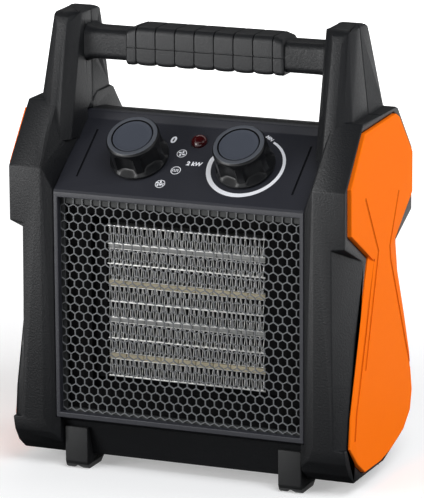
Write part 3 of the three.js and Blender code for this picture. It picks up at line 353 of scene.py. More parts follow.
def engrave(obj, segments, width, depth, material):
    """Cuts a square groove along each (start, end, outwards) segment, in mm. Its faces take the given
    material, whose darker colour is painted shade.
    """
    def cutters(bm):
        for start, end, outwards in segments:
            along = (end - start).normalized()
            across = along.cross(outwards).normalized()
            axes = Matrix((across, along, outwards)).transposed().to_4x4()
            size = Matrix.Diagonal((width, (end - start).length + GROOVE_OVERLAP * width, 2 * depth, 1))
            place = Matrix.Translation((start + end) / 2) @ axes @ size
            bmesh.ops.create_cube(bm, size=1, matrix=place)

    mesh = mesh_from("groove_cutter", cutters)
    mesh.materials.append(material)
    cutter = bpy.data.objects.new("groove_cutter", mesh)
    bpy.context.scene.collection.objects.link(cutter)
    modifier = obj.modifiers.new("engraving", "BOOLEAN")
    modifier.operation = "DIFFERENCE"
    modifier.object = cutter
    modifier.solver = "EXACT"
    modifier.use_self = True
    modifier.material_mode = "TRANSFER"
    bpy.context.view_layer.update()
    cut = bpy.data.meshes.new_from_object(obj.evaluated_get(bpy.context.evaluated_depsgraph_get()))
    obj.modifiers.remove(modifier)
    bpy.data.objects.remove(cutter)
    cut.set_sharp_from_angle(angle=math.radians(10))
    obj.data = cut


def side_panel(side, sign):
    """An orange side panel with a rounded rim and fine grooves along its creases."""
    obj = rounded("side_panel_" + side, orange_abs, radius=0.7, min_angle=25)
    out = Vector((sign, 0, 0))
    bm = bmesh.new()
    bm.from_mesh(obj.data)
    surface = BVHTree.FromBMesh(bm)
    bm.free()
    segments = []
    for crease in CREASES:
        hits = [surface.ray_cast(in_metres((sign * OUTSIDE, y, z)), -out)[0] for y, z in crease]
        segments += [(a / MM, b / MM, out) for a, b in zip(hits, hits[1:]) if a and b]
    # the grooves take the darker orange, as painted shade
    engrave(obj, segments, CREASE_WIDTH, CREASE_DEPTH, orange_groove_shade)


def control_panel():
    """The sloping panel with a line in it at each side of the controls."""
    obj = rounded("front_panel", panel_abs, radius=0.6, min_angle=25)
    lines = [(on_panel(x, PANEL_LINE_LOW), on_panel(x, PANEL_LINE_HIGH), OUTWARDS)
             for x in (-PANEL_LINE_X, PANEL_LINE_X)]
    # the lines take the darker charcoal, as painted shade
    engrave(obj, lines, PANEL_LINE_WIDTH, PANEL_LINE_DEPTH, panel_groove_shade)


def seam_tongue():
    """The tongue between the two shells, which keeps light from showing in their seam."""
    bm = cleaned("front_shell")
    bm.normal_update()
    seam = max(v.co.y for v in bm.verts)
    others = [f for f in bm.faces if f.normal.y < 0.99 or seam - f.calc_center_median().y > 0.05 * MM]
    bmesh.ops.delete(bm, geom=others, context="FACES")
    rim = bmesh.ops.inset_region(bm, faces=bm.faces[:], thickness=SEAM_INSET * MM, use_even_offset=True)
    bmesh.ops.delete(bm, geom=rim["faces"], context="FACES")
    raised = bmesh.ops.extrude_face_region(bm, geom=bm.faces[:])["geom"]
    raised = [part for part in raised if isinstance(part, bmesh.types.BMVert)]
    bmesh.ops.translate(bm, vec=(0, SEAM_HEIGHT * MM, 0), verts=raised)
    bmesh.ops.recalc_face_normals(bm, faces=bm.faces)
    name = "shell_seam_tongue"
    new_object(name, as_mesh(name, bm), housing_abs, "housing", "shell_plastic", smooth_angle=30)


rounded("front_shell", housing_abs)
rounded("rear_shell", housing_abs)
seam_tongue()
control_panel()
side_panel("left", -1)
side_panel("right", 1)
for side in ("left", "right"):
    for end in ("front", "rear"):
        rounded(f"{end}_foot_{side}", foot_rubber, radius=0.5, min_length=3)

# --- geometry trees ---


def new_geometry_tree(name, inputs):
    """An empty geometry node tree with named inputs for its sizes. Returns the
    tree and the sockets of its inputs."""
    tree = bpy.data.node_groups.new(name, "GeometryNodeTree")
    tree.interface.new_socket("Geometry", in_out="OUTPUT", socket_type="NodeSocketGeometry")
    for label, kind in inputs.items():
        tree.interface.new_socket(label, in_out="INPUT", socket_type="NodeSocket" + kind)
    return tree, add(tree, "NodeGroupInput")


def close_tree(tree, geometry, material):
    """Ends a tree with one plain mesh in its material."""
    real = add(tree, "GeometryNodeRealizeInstances", {0: geometry})[0]
    merged = add(tree, "GeometryNodeMergeByDistance", {"Distance": WELD * MM, "Geometry": real})[0]
    painted = add(tree, "GeometryNodeSetMaterial", {"Material": material, "Geometry": merged})[0]
    add(tree, "NodeGroupOutput", {0: painted})


def made_by_nodes(name, tree, sizes, *looks, **more):
    """Runs a geometry node tree with its sizes set in millimetres and keeps the
    plain mesh. The rest is as in new_object."""
    carrier = bpy.data.objects.new(name + "_carrier", bpy.data.meshes.new(name + "_carrier"))
    bpy.context.scene.collection.objects.link(carrier)
    modifier = carrier.modifiers.new(name, "NODES")
    modifier.node_group = tree
    sockets = {item.name: item.identifier for item in tree.interface.items_tree if item.item_type == "SOCKET"}
    for label, value in sizes.items():
        modifier[sockets[label]] = in_metres(value)
    bpy.context.view_layer.update()
    mesh = bpy.data.meshes.new_from_object(carrier.evaluated_get(bpy.context.evaluated_depsgraph_get()))
    mesh.name = name
    carrier.modifiers.remove(modifier)
    bpy.data.objects.remove(carrier)
    return new_object(name, mesh, *looks, **more)


# --- the guard mesh ---

CELL_WELD = 0.05         # joins the edges of neighbouring cells
GUARD_SIZES = {
    "Pitch": 6.0, "Wire": 0.6, "Thickness": 0.8, "Columns": 27, "Rows": 28,
    "Corner": (-80.4, -49.25, 35.9)}     # middle of the first cell of the lowest row


def hexagon_tree():
    """Sheet of upright hexagonal holes: cells side by side, each one shrunk to
    its hole, the holes taken out, and the web given a thickness."""
    tree, size = new_geometry_tree("hexagonal_guard", {
        "Pitch": "Float", "Wire": "Float", "Thickness": "Float", "Columns": "Int", "Rows": "Int",
        "Corner": "Vector"})
    pitch, rows = size["Pitch"], size["Rows"]
    count = add(tree, "ShaderNodeMath", {"operation": "MULTIPLY", 0: size["Columns"], 1: rows})[0]
    points = add(tree, "GeometryNodeMeshLine", {"mode": "OFFSET", "Offset": (0, 0, 0), "Count": count})[0]
    index = add(tree, "GeometryNodeInputIndex")[0]
    row = add(tree, "ShaderNodeMath", {"operation": "MODULO", 0: index, 1: rows})[0]
    columns_passed = add(tree, "ShaderNodeMath", {"operation": "DIVIDE", 0: index, 1: rows})[0]
    column = add(tree, "ShaderNodeMath", {"operation": "FLOOR", 0: columns_passed})[0]
    odd_row = add(tree, "ShaderNodeMath", {"operation": "MODULO", 0: row, 1: 2.0})[0]
    steps = add(tree, "ShaderNodeMath", {"operation": "MULTIPLY_ADD", 0: odd_row, 1: 0.5, 2: column})[0]
    x = add(tree, "ShaderNodeMath", {"operation": "MULTIPLY", 0: steps, 1: pitch})[0]
    row_step = add(tree, "ShaderNodeMath", {"operation": "MULTIPLY", 0: pitch, 1: math.sqrt(3) / 2})[0]
    z = add(tree, "ShaderNodeMath", {"operation": "MULTIPLY", 0: row, 1: row_step})[0]
    from_corner = add(tree, "ShaderNodeCombineXYZ", {0: x, 2: z})[0]
    place = add(tree, "ShaderNodeVectorMath", {"operation": "ADD", 0: from_corner, 1: size["Corner"]})[0]
    laid = add(tree, "GeometryNodeSetPosition", {"Geometry": points, "Position": place})[0]
    radius = add(tree, "ShaderNodeMath", {"operation": "DIVIDE", 0: pitch, 1: math.sqrt(3)})[0]
    cell = add(tree, "GeometryNodeMeshCircle", {"fill_type": "NGON", "Vertices": 6, "Radius": radius})[0]
    upright = add(tree, "GeometryNodeTransform", {0: cell, "Rotation": (math.pi / 2, math.pi / 6, 0)})[0]
    cells = add(tree, "GeometryNodeInstanceOnPoints", {"Points": laid, "Instance": upright})[0]
    real = add(tree, "GeometryNodeRealizeInstances", {0: cells})[0]
    joined = add(tree, "GeometryNodeMergeByDistance", {"Distance": CELL_WELD * MM, "Geometry": real})[0]
    holes = add(tree, "GeometryNodeExtrudeMesh", {
        "mode": "FACES", "Offset Scale": 0.0, "Individual": True, "Mesh": joined})
    wire_share = add(tree, "ShaderNodeMath", {"operation": "DIVIDE", 0: size["Wire"], 1: pitch})[0]
    hole_share = add(tree, "ShaderNodeMath", {"operation": "SUBTRACT", 0: 1.0, 1: wire_share})[0]
    shrunk = add(tree, "GeometryNodeScaleElements", {
        "Geometry": holes[0], "Selection": holes["Top"], "Scale": hole_share})[0]
    web = add(tree, "GeometryNodeDeleteGeometry", {
        "domain": "FACE", "Geometry": shrunk, "Selection": holes["Top"]})[0]
    flat = add(tree, "GeometryNodeMergeByDistance", {"Distance": WELD * MM, "Geometry": web})[0]
    depth = add(tree, "ShaderNodeCombineXYZ", {1: size["Thickness"]})[0]
    thick = add(tree, "GeometryNodeExtrudeMesh", {
        "mode": "FACES", "Individual": False, "Offset Scale": 1.0, "Mesh": flat, "Offset": depth})[0]
    both_faces = add(tree, "GeometryNodeJoinGeometry", {0: [thick, flat]})[0]
    close_tree(tree, both_faces, mesh_steel)
    return tree


made_by_nodes("guard_mesh", hexagon_tree(), GUARD_SIZES, mesh_steel, "housing", "grille_steel",
              ["front_grille"], smooth_angle=20)

# --- the heating element ---

ELEMENT_HALF, ELEMENT_DEPTH = 53.2, 14.0
PLATE_HEIGHTS = (155.7, 131.8, 107.9, 84.4, 60.4)    # bare plates, mid height
COVERED_STRIPS = ((144.9, 141.1), (98.1, 94.4))      # upper and lower face
STONE_STRIPS = ((121.7, 117.3), (75.2, 70.8))
PLATE_HALF, LIP, WRAP_LIP = 0.45, 0.4, 0.8           # half a plate's thickness, that of a channel's lips
PLATE_BACK, WRAP_LIP_BACK, WRAP_FOOT_BACK, STONE_LIP_BACK = -0.4, -0.3, 0.2, 0.6    # from ELEMENT_FRONT
PLATE_CHAMFER, LIP_CHAMFER, STONE_CHAMFER, GASKET_CHAMFER = 0.12, 0.1, 0.25, 0.12
RIBBON_PITCH, RIBBON_SHEET = 3.1, 0.5
RIBBON_END, RIBBON_GAP = 1.2, 0.15                   # free at each side, above and below
SWAY, SWAY_RATE = 0.1, 0.37                          # how unevenly the folds stand
STONE_SEAM, STONE_SINK = 0.2, 0.55                   # free beside a stone, and above and below it
GASKET_FRONT, GASKET_BACK = -34.5, -29.5
GASKET_STRIPS = ((-52.0, 52.0, 156.7, 160.05), (-52.0, 52.0, 56.15, 59.5),    # left, right, low, high
                 (52.6, 60.9, 157.0, 160.0), (-60.9, -52.6, 157.0, 160.0),
                 (52.6, 60.9, 56.2, 59.2), (-60.9, -52.6, 56.2, 59.2))


def ribbon_tree():
    """Folded ribbon of fin stock: a zigzag line swept into a thin sheet. Four
    points make one fold: foot, top, top, foot."""
    tree, size = new_geometry_tree("folded_fin_ribbon", {
        "Length": "Float", "Height": "Float", "Pitch": "Float", "Depth": "Float", "Sheet": "Float",
        "Corner": "Vector"})
    step = add(tree, "ShaderNodeMath", {"operation": "MULTIPLY", 0: size["Pitch"], 1: 0.25})[0]
    fitting = add(tree, "ShaderNodeMath", {"operation": "DIVIDE", 0: size["Length"], 1: step})[0]
    count = add(tree, "ShaderNodeMath", {"operation": "FLOOR", 0: fitting})[0]
    line = add(tree, "GeometryNodeMeshLine", {"mode": "OFFSET", "Offset": (0, 0, 0), "Count": count})[0]
    index = add(tree, "GeometryNodeInputIndex")[0]
    quarter = add(tree, "ShaderNodeMath", {"operation": "MODULO", 0: index, 1: 4.0})[0]
    after_foot = add(tree, "ShaderNodeMath", {"operation": "GREATER_THAN", 0: quarter, 1: 0.5})[0]
    before_foot = add(tree, "ShaderNodeMath", {"operation": "LESS_THAN", 0: quarter, 1: 2.5})[0]
    top = add(tree, "ShaderNodeMath", {"operation": "MULTIPLY", 0: after_foot, 1: before_foot})[0]
    z = add(tree, "ShaderNodeMath", {"operation": "MULTIPLY", 0: top, 1: size["Height"]})[0]
    phase = add(tree, "ShaderNodeMath", {"operation": "MULTIPLY", 0: index, 1: SWAY_RATE})[0]
    swing = add(tree, "ShaderNodeMath", {"operation": "SINE", 0: phase})[0]
    sway = add(tree, "ShaderNodeMath", {"operation": "MULTIPLY", 0: swing, 1: SWAY * MM})[0]
    even_x = add(tree, "ShaderNodeMath", {"operation": "MULTIPLY", 0: index, 1: step})[0]
    x = add(tree, "ShaderNodeMath", {"operation": "ADD", 0: sway, 1: even_x})[0]
    from_corner = add(tree, "ShaderNodeCombineXYZ", {0: x, 2: z})[0]
    place = add(tree, "ShaderNodeVectorMath", {"operation": "ADD", 0: from_corner, 1: size["Corner"]})[0]
    laid = add(tree, "GeometryNodeSetPosition", {"Geometry": line, "Position": place})[0]
    depth = add(tree, "ShaderNodeCombineXYZ", {1: size["Depth"]})[0]
    swept = add(tree, "GeometryNodeExtrudeMesh", {
        "mode": "EDGES", "Offset Scale": 1.0, "Mesh": laid, "Offset": depth})[0]
    thick = add(tree, "GeometryNodeExtrudeMesh", {
        "mode": "FACES", "Individual": False, "Mesh": swept, "Offset Scale": size["Sheet"]})[0]
    back = add(tree, "GeometryNodeFlipFaces", {0: swept})[0]
    whole = add(tree, "GeometryNodeJoinGeometry", {0: [thick, back]})[0]
    close_tree(tree, whole, fin_aluminium)
    return tree


def ribbon_gaps():
    """The spaces between plates and strips, from the top down: the ribbons."""
    solids = [(z + PLATE_HALF, z - PLATE_HALF) for z in PLATE_HEIGHTS] + [*COVERED_STRIPS, *STONE_STRIPS]
    solids.sort(reverse=True)
    return [(above[1], below[0]) for above, below in zip(solids, solids[1:])]


def ribbons():
    """One folded ribbon in each gap. The CAD's fins are counted from the bottom up."""
    tree = ribbon_tree()
    gaps = ribbon_gaps()
    for number, (upper, lower) in enumerate(gaps, 1):
        sizes = {"Length": 2 * (ELEMENT_HALF - RIBBON_END), "Height": upper - lower - 2 * RIBBON_GAP,
                 "Pitch": RIBBON_PITCH, "Depth": ELEMENT_DEPTH, "Sheet": RIBBON_SHEET,
                 "Corner": (RIBBON_END - ELEMENT_HALF, ELEMENT_FRONT, lower + RIBBON_GAP)}
        made_by_nodes(f"fin_ribbon_{number}", tree, sizes, fin_aluminium, "housing", "fin_aluminium",
                      [f"heater_fin_{len(gaps) + 1 - number}"], smooth_angle=0)


def plates(bm):
    """Bare plates between ribbons, and the two lips of each channel."""
    def strip(low, high, behind, chamfer=LIP_CHAMFER):
        block(bm, -ELEMENT_HALF, ELEMENT_HALF, ELEMENT_FRONT + behind, ELEMENT_FRONT + ELEMENT_DEPTH,
              low, high, chamfer)

    for z in PLATE_HEIGHTS:
        strip(z - PLATE_HALF, z + PLATE_HALF, PLATE_BACK, PLATE_CHAMFER)
    for upper, lower in COVERED_STRIPS:
        strip(upper - WRAP_LIP, upper, WRAP_LIP_BACK)
        strip(lower, lower + LIP, WRAP_FOOT_BACK)
    for upper, lower in STONE_STRIPS:
        strip(lower, lower + LIP, STONE_LIP_BACK)
        strip(upper - LIP, upper, STONE_LIP_BACK)


def stones(strips, behind, length):
    """Ceramic stones of about a length in a row in their channels."""
    def build(bm):
        half = ELEMENT_HALF - 1
        back = ELEMENT_FRONT + ELEMENT_DEPTH - 0.4
        count = round(2 * half / length)
        step = 2 * half / count
        for upper, lower in strips:
            for i in range(count):
                left = i * step - half
                block(bm, left + STONE_SEAM, left + step - STONE_SEAM, ELEMENT_FRONT + behind, back,
                      lower + STONE_SINK, upper - STONE_SINK, STONE_CHAMFER)
    return build


def gasket(bm):
    """Fibre strips that close the gaps between the element's frame and its duct."""
    for left, right, low, high in GASKET_STRIPS:
        block(bm, left, right, GASKET_FRONT, GASKET_BACK, low, high, GASKET_CHAMFER, segments=1)


ribbons()
new_piece("element_plates", plates, bright_aluminium, "housing", "fin_aluminium",
          ["heater_rail_top", "heater_rail_bottom"], smooth_angle=35)
new_piece("ceramic_stones", stones(STONE_STRIPS, 0.2, 12.0), heater_ceramic, "housing", "fin_aluminium",
          ["ptc_strip_1", "ptc_strip_3"], smooth_angle=35)
new_piece("wrapped_stones", stones(COVERED_STRIPS, 0.3, 8.0), wrapped_aluminium, "housing", "fin_aluminium",
          ["ptc_strip_2", "ptc_strip_4"], smooth_angle=35)
new_piece("element_gasket", gasket, inner_nylon, "housing", "inner_plastic", smooth_angle=30)

# --- the handle ---

BAR_Y, BAR_Z, BAR_HALF_Y, BAR_HALF_Z, BAR_CORNER = 1.5, 261.8, 10.5, 9.75, 5.0
BAR_END = 92.0           # inside the post
POST_FACE = 80.2         # where the bar goes into the post
COLLAR = ((-0.1, 0), (-0.05, 0), (0, 1.9), (0.9, 1.5), (2.2, 0.9),       # in from the post's face,
          (4.2, 0.35), (6.7, 0.05), (20.2, 0))                           # how far it stands out
GRIP_HALF, GRIP_PITCH, GRIP_GROOVES = 52.3, 12.9, 8
GRIP_RAMP, GRIP_RISE = 6.5, 2.2                       # raised top: length of its ramps, height
GRIP_TOP, GRIP_FOOT, GRIP_SIDE = 1.0, 1.7, 1.8        # thickness of the rubber on the bar
UPPER_CORNER, LOWER_CORNER = 4.2, 3.0
GRIP_END = ((0, 1.3), (0.25, 0.6), (0.9, 0.12), (1.4, 0))     # in from the end, how much smaller
GRIP_GROOVE = ((-0.45, 0.05, 0.9), (-0.28, 0.75, 0.3),        # along the bar, how much smaller,
               (0.28, 0.75, 0.3), (0.45, 0.05, 0.9))          # how far the belly is drawn in
RIB_SHARES = (0.12, 0.3, 0.5, 0.7, 0.88)              # places across a rib
BELLY = 0.9                                           # how far a rib swells between two grooves
SIDE_GROOVE = ((0.55, 0), (0.3, 0.75), (-0.3, 0.75), (-0.55, 0))         # height, depth


def quarter(centre_y, centre_z, radius, start, steps):
    """A quarter of a circle in the cross-section, from a start angle on."""
    angles = [math.radians(start + 90 * i / steps) for i in range(steps + 1)]
    return [(centre_y + radius * math.cos(a), centre_z + radius * math.sin(a)) for a in angles]


def across_bar(x, outline):
    """Puts the points of a cross-section at a place along the bar."""
    return [Vector((x, BAR_Y + y, BAR_Z + z)) for y, z in outline]


def bar(bm):
    """The bar across the posts, with a flared collar where it meets them."""
    stations = [(BAR_END, 0)] + [(POST_FACE - inwards, grow) for inwards, grow in COLLAR]
    y, z = BAR_HALF_Y - BAR_CORNER, BAR_HALF_Z - BAR_CORNER
    rings = []
    for x, grow in [(-x, grow) for x, grow in stations] + stations[::-1]:
        outline = []
        for centre_y, centre_z, start in ((y, z, 0), (-y, z, 90), (-y, -z, 180), (y, -z, 270)):
            outline += quarter(centre_y, centre_z, BAR_CORNER + grow, start, 8)
        rings.append(across_bar(x, outline))
    rings_to_mesh(bm, rings)
    bmesh.ops.recalc_face_normals(bm, faces=bm.faces)


def grip_section(x, trim, scallop):
    """Ring of the grip across the bar: flat front and back with a groove along
    their middle, rounded upper edges, a low raised top and a belly."""
    ramp = min(1.0, max(0.0, (GRIP_HALF - abs(x)) / GRIP_RAMP))
    side = BAR_HALF_Y + GRIP_SIDE - trim
    top = BAR_HALF_Z + GRIP_TOP + GRIP_RISE * ramp - trim
    low = BAR_HALF_Z + GRIP_FOOT - trim - scallop
    outline = quarter(side - UPPER_CORNER, top - UPPER_CORNER, UPPER_CORNER, 0, 6)
    outline += quarter(UPPER_CORNER - side, top - UPPER_CORNER, UPPER_CORNER, 90, 6)
    outline += [(depth - side, height) for height, depth in SIDE_GROOVE]
    outline += quarter(LOWER_CORNER - side, LOWER_CORNER - low, LOWER_CORNER, 180, 6)
    outline += quarter(side - LOWER_CORNER, LOWER_CORNER - low, LOWER_CORNER, 270, 6)
    outline += [(side - depth, height) for height, depth in SIDE_GROOVE[::-1]]
    return across_bar(x, outline)


def grip(bm):
    """The rubber grip: ribs between narrow grooves, with rounded ends."""
    stations = [(sign * (GRIP_HALF - inwards), trim, 0) for sign in (-1, 1) for inwards, trim in GRIP_END]
    grooves = [(k + 0.5 - GRIP_GROOVES / 2) * GRIP_PITCH for k in range(GRIP_GROOVES)]
    for groove in grooves:
        stations += [(groove + along, trim, scallop) for along, trim, scallop in GRIP_GROOVE]
    edges = [-GRIP_HALF] + grooves + [GRIP_HALF]
    for left, right in zip(edges, edges[1:]):
        for share in RIB_SHARES:
            x = left + (right - left) * share
            if abs(x) < GRIP_HALF - 1.5:
                stations.append((x, 0, BELLY * (1 - math.sin(math.pi * share) ** 0.5)))
    rings_to_mesh(bm, [grip_section(*station) for station in sorted(stations)])
    bmesh.ops.recalc_face_normals(bm, faces=bm.faces)


new_piece("handle_bar_moulded", bar, housing_abs, "housing", "shell_plastic", ["handle_bar"])
new_piece("rubber_grip", grip, grip_rubber, "housing", "grip_rubber", ["handle_grip"], smooth_angle=30)

# --- controls ---

KNOB_X, KNOB_UP = 35.0, 30.5
RIM_LOW, KNOB_RING = 20.0, 13.3                       # lowest height and inner edge of the rim's top
KNOB_FOOT = ((0.9, 18.2), (1.1, 18.6), (1.5, 18.75), (2.1, 18.75),       # height above the panel,
             (2.5, 18.6), (3.6, 17.75), (4.2, 17.4))                     # radius
KNOB_RIM = ((18.2, 16.8), (18.9, 16.8), (19.3, 16.65), (20.2, 15.85), (20.38, 15.5), (20.4, 15.3),
            (20.4, KNOB_RING), (20.3, KNOB_RING - 0.15), (19.4, KNOB_RING - 0.25), (19.3, 12.0), (19.3, 0.5))
WALL_LOW, WALL_STEP, WALL_COUNT = 4.5, 0.33, 41       # rings of the wall between foot and rim
WALL_RADIUS, WALL_DRAFT = 17.25, 0.012                # at its lowest ring, less at each next one
DISC = ((19.35, 12.3), (20.0, 12.4), (20.25, 12.25), (20.35, 11.95), (20.2, 11.4), (20.05, 10.9),
        (20.0, 9.0), (19.98, 0.3))
SCOOPS, SCOOP_HALF, SCOOP_DEPTH = 6, math.radians(22), 3.6
SHELF_LOW, SHELF_RISE = 2.6, 2.4                      # sloping foot of a scoop: start, height
ARCH_TOP, ARCH_DROP, ARCH_FADE = 17.7, 2.6, 0.6       # its upper end: top, lower at the sides, softness
LAMP_X, LAMP_UP, LAMP_RADIUS, LAMP_HEIGHT = -1.4, 47.5, 4.9, 3.8
LAMP_FOOT, NECK_TOP, DOME_LOW = -2.0, 0.25, 0.8       # heights
NECK_IN, SHOULDER_IN = 0.7, 0.05                      # how much smaller than the dome


def scoop_depth(angle, height):
    """How far an upright finger scoop is let into the knob at a place: it rises
    from a sloping shelf at the foot to an arch under the rim."""
    pitch = 2 * math.pi / SCOOPS
    across = abs((angle + pitch / 2) % pitch - pitch / 2) / SCOOP_HALF
    if across >= 1:
        return 0.0
    shelf = min(1.0, max(0.0, (height - SHELF_LOW) / SHELF_RISE))
    arch = min(1.0, max(0.0, (ARCH_TOP - ARCH_DROP * across ** 3 - height) / ARCH_FADE))
    return SCOOP_DEPTH * (1 - across ** 3) ** 0.6 * shelf * arch ** 0.7


def turned(x, up, profile, around, cut=None):
    """Makes what builds a round piece on the panel from (height, radius) points.
    Cut says how much comes off at an angle and a height."""
    angles = [2 * math.pi * i / around for i in range(around)]
    rings = []
    for height, radius in profile:
        ring = []
        for angle in angles:
            r = radius - cut(angle, height) if cut else radius
            ring.append(on_panel(x + r * math.cos(angle), up + r * math.sin(angle), height))
        rings.append(ring)
    return lambda bm: rings_to_mesh(bm, rings)


def knob(name, x, turn):
    """A knob with six finger scoops between a broad foot and a grey rim, and the
    dished disc in its top. Both ride on the body of that name."""
    wall = [(WALL_LOW + WALL_STEP * i, WALL_RADIUS - WALL_DRAFT * i) for i in range(WALL_COUNT)]
    build = turned(x, KNOB_UP, [*KNOB_FOOT, *wall, *KNOB_RIM], 180,
                   lambda angle, height: scoop_depth(angle - turn, height))
    body = new_piece(f"{name}_knob_body", build, knob_abs, name, "knob_plastic", [f"{name}_knob"])
    body.data.materials.append(rim_abs)
    for face in body.data.polygons:
        from_foot = face.center / MM - on_panel(x, KNOB_UP)
        height = from_foot.dot(OUTWARDS)
        if height > RIM_LOW and (from_foot - OUTWARDS * height).length > KNOB_RING:
            face.material_index = 1
    new_piece(f"{name}_knob_disc", turned(x, KNOB_UP, DISC, 96), cap_abs, name, "cap_plastic",
              [f"{name}_knob_cap"])


def pilot_lamp():
    """Smooth dome of the pilot lamp on its neck."""
    neck = LAMP_RADIUS - NECK_IN
    profile = [(LAMP_FOOT, neck), (NECK_TOP, neck), (NECK_TOP, LAMP_RADIUS - SHOULDER_IN)]
    for i in range(13):
        angle = math.radians(7 * i)
        profile.append((DOME_LOW + (LAMP_HEIGHT - DOME_LOW) * math.sin(angle), LAMP_RADIUS * math.cos(angle)))
    new_piece("pilot_lamp_dome", turned(LAMP_X, LAMP_UP, profile, 64), lens_red, "housing", "lens_plastic",
              ["indicator_lens"])


knob("selector", -KNOB_X, math.radians(263))
knob("thermostat", KNOB_X, math.radians(253))
pilot_lamp()

# --- printed markings ---

INK_TOP, INK_FOOT = 0.06, 0.005                       # above the panel
SCALE_X, SCALE_UP, SCALE_RADIUS, SCALE_HALF = 34.9, 31.2, 23.7, 1.45
RING_RADIUS, RING_LINE, COIL_LINE = 3.0, 0.22, 0.24   # lines: half their width
BLADE = ((0.3, 0.15), (1.0, 0.5), (1.7, 0.62), (2.2, 0.35))     # distance from the hub, half width
BLADE_SWEEP = 0.5                                     # radians for each millimetre outwards
COIL = ((-1.7, -1.1), (-1.7, 0.9), (-0.595, 0.9), (-0.595, -0.9), (0.595, -0.9), (0.595, 0.9),
        (1.7, 0.9), (1.7, -1.1))
LETTER_SIZE, LETTER_SLANT, LETTER_WEIGHT = 1.38, 0.12, 0.055    # as shares of a letter's height


def printed(name, strokes):
    """Strokes of ink on the panel: each a list of (x, up, half width) points."""
    def build(bm):
        for stroke in strokes:
            sides = [[], []]
            for i, (x, up, half) in enumerate(stroke):
                before = stroke[max(0, i - 1)]
                after = stroke[min(len(stroke) - 1, i + 1)]
                along = Vector((after[0] - before[0], after[1] - before[1])).normalized()
                across = Vector((-along.y, along.x)) * half
                sides[0].append((x + across.x, up + across.y))
                sides[1].append((x - across.x, up - across.y))
            left, right, left_low, right_low = [
                [bm.verts.new(on_panel(*p, height)) for p in side]
                for height in (INK_TOP, INK_FOOT) for side in sides]
            for i in range(len(stroke) - 1):
                bm.faces.new((right[i], right[i + 1], left[i + 1], left[i]))
                bm.faces.new((left_low[i], left_low[i + 1], right_low[i + 1], right_low[i]))
                bm.faces.new((left[i], left[i + 1], left_low[i + 1], left_low[i]))
                bm.faces.new((right_low[i], right_low[i + 1], right[i + 1], right[i]))
            for end in (0, -1):
                bm.faces.new([row[end] for row in (left, left_low, right_low, right)])
        bmesh.ops.recalc_face_normals(bm, faces=bm.faces)
    new_piece(name, build, white_ink, "housing", "panel_plastic", smooth_angle=0)


def arc(x, up, radius, start, end, half_start, half_end, steps):
    """A stroke along a circle, whose half width changes evenly from end to end."""
    points = []
    for i in range(steps + 1):
        share = i / steps
        angle = math.radians(start + (end - start) * share)
        half = half_start + (half_end - half_start) * share
        points.append((x + radius * math.cos(angle), up + radius * math.sin(angle), half))
    return points


def scale_arc(*ends_and_steps):
    """A stretch of the heat scale around the right knob."""
    return arc(SCALE_X, SCALE_UP, SCALE_RADIUS, *ends_and_steps)


def ring_sign(x, up):
    """The circle around a sign."""
    return [arc(x, up, RING_RADIUS, 0, 360, RING_LINE, RING_LINE, 32)]


def fan_sign(x, up):
    """Four swept blades."""
    blades = []
    for start in (0.3, 1.87, 3.44, 5.01):
        swept = [(r, start + BLADE_SWEEP * r, half) for r, half in BLADE]
        blades.append([(x + r * math.cos(a), up + r * math.sin(a), half) for r, a, half in swept])
    return blades


def coil_sign(x, up):
    """A heating wire that goes up and down."""
    return [[(x + right, up + high, COIL_LINE) for right, high in COIL]]


def lettering(name, words, x, up, height, turn=0.0):
    """Slanted letters printed on the panel."""
    data = bpy.data.curves.new(name, "FONT")
    data.body = words
    data.size = height * LETTER_SIZE
    data.shear = LETTER_SLANT
    data.offset = height * LETTER_WEIGHT
    data.align_x = data.align_y = "CENTER"
    data.extrude = (INK_TOP - INK_FOOT) / 2
    text = bpy.data.objects.new(name, data)
    bpy.context.scene.collection.objects.link(text)
    bpy.context.view_layer.update()
    mesh = bpy.data.meshes.new_from_object(text.evaluated_get(bpy.context.evaluated_depsgraph_get()))
    bpy.data.objects.remove(text)
    middle = Matrix.Translation(on_panel(x, up, (INK_TOP + INK_FOOT) / 2))
    lay = Matrix((Vector((1, 0, 0)), UP_SLOPE, OUTWARDS)).transposed().to_4x4()
    mesh.transform(Matrix.Scale(MM, 4) @ middle @ lay @ Matrix.Rotation(turn, 4, "Z"))
    mesh.name = name
    new_object(name, mesh, white_ink, "housing", "panel_plastic", smooth_angle=0)


printed("heat_scale", [scale_arc(160, 172, 0.25, 1.4, 8) + scale_arc(174, 270, SCALE_HALF, SCALE_HALF, 40)
                       + scale_arc(272.5, 422, SCALE_HALF, 0.75, 60)])
printed("fan_mark", ring_sign(-9.6, 37.2) + fan_sign(-9.6, 37.2))
printed("half_heat_mark", ring_sign(-8.9, 23.2) + coil_sign(-9.2, 23.2))
printed("full_heat_mark", ring_sign(-15.2, 11.4) + fan_sign(-15.9, 11.6) + coil_sign(-14.9, 11.2))
lettering("zero_mark", "0", -18.8, 47.5, 5.0)
lettering("power_mark", "2 kW", 1.0, 29.5, 3.1)
lettering("least_heat_mark", "MIN", 42.4, 55.2, 2.3, math.radians(-32))

# --- the stage ---

CAMERA_PLACE = Vector((913.1, -2183.5, 713.9)) * MM
CAMERA_YAW, CAMERA_PITCH, CAMERA_ROLL = (math.radians(v) for v in (22.69, 13.72, -0.35))
LENS, SENSOR = 284.1, 36
WORLD_LEVEL = 0.25                                    # how much the surroundings light the object
FLOOR_SHADE, FLOOR_WHITE = (0.3, 0.3, 0.3, 1), (0.8, 0.8, 0.8, 1)
FLOOR_GLOW = 0.32                                     # beside the object; 1 from FADE_END on
FADE_START, FADE_END, FLOOR_SIDE = 0.25, 1.2, 16.0    # metres


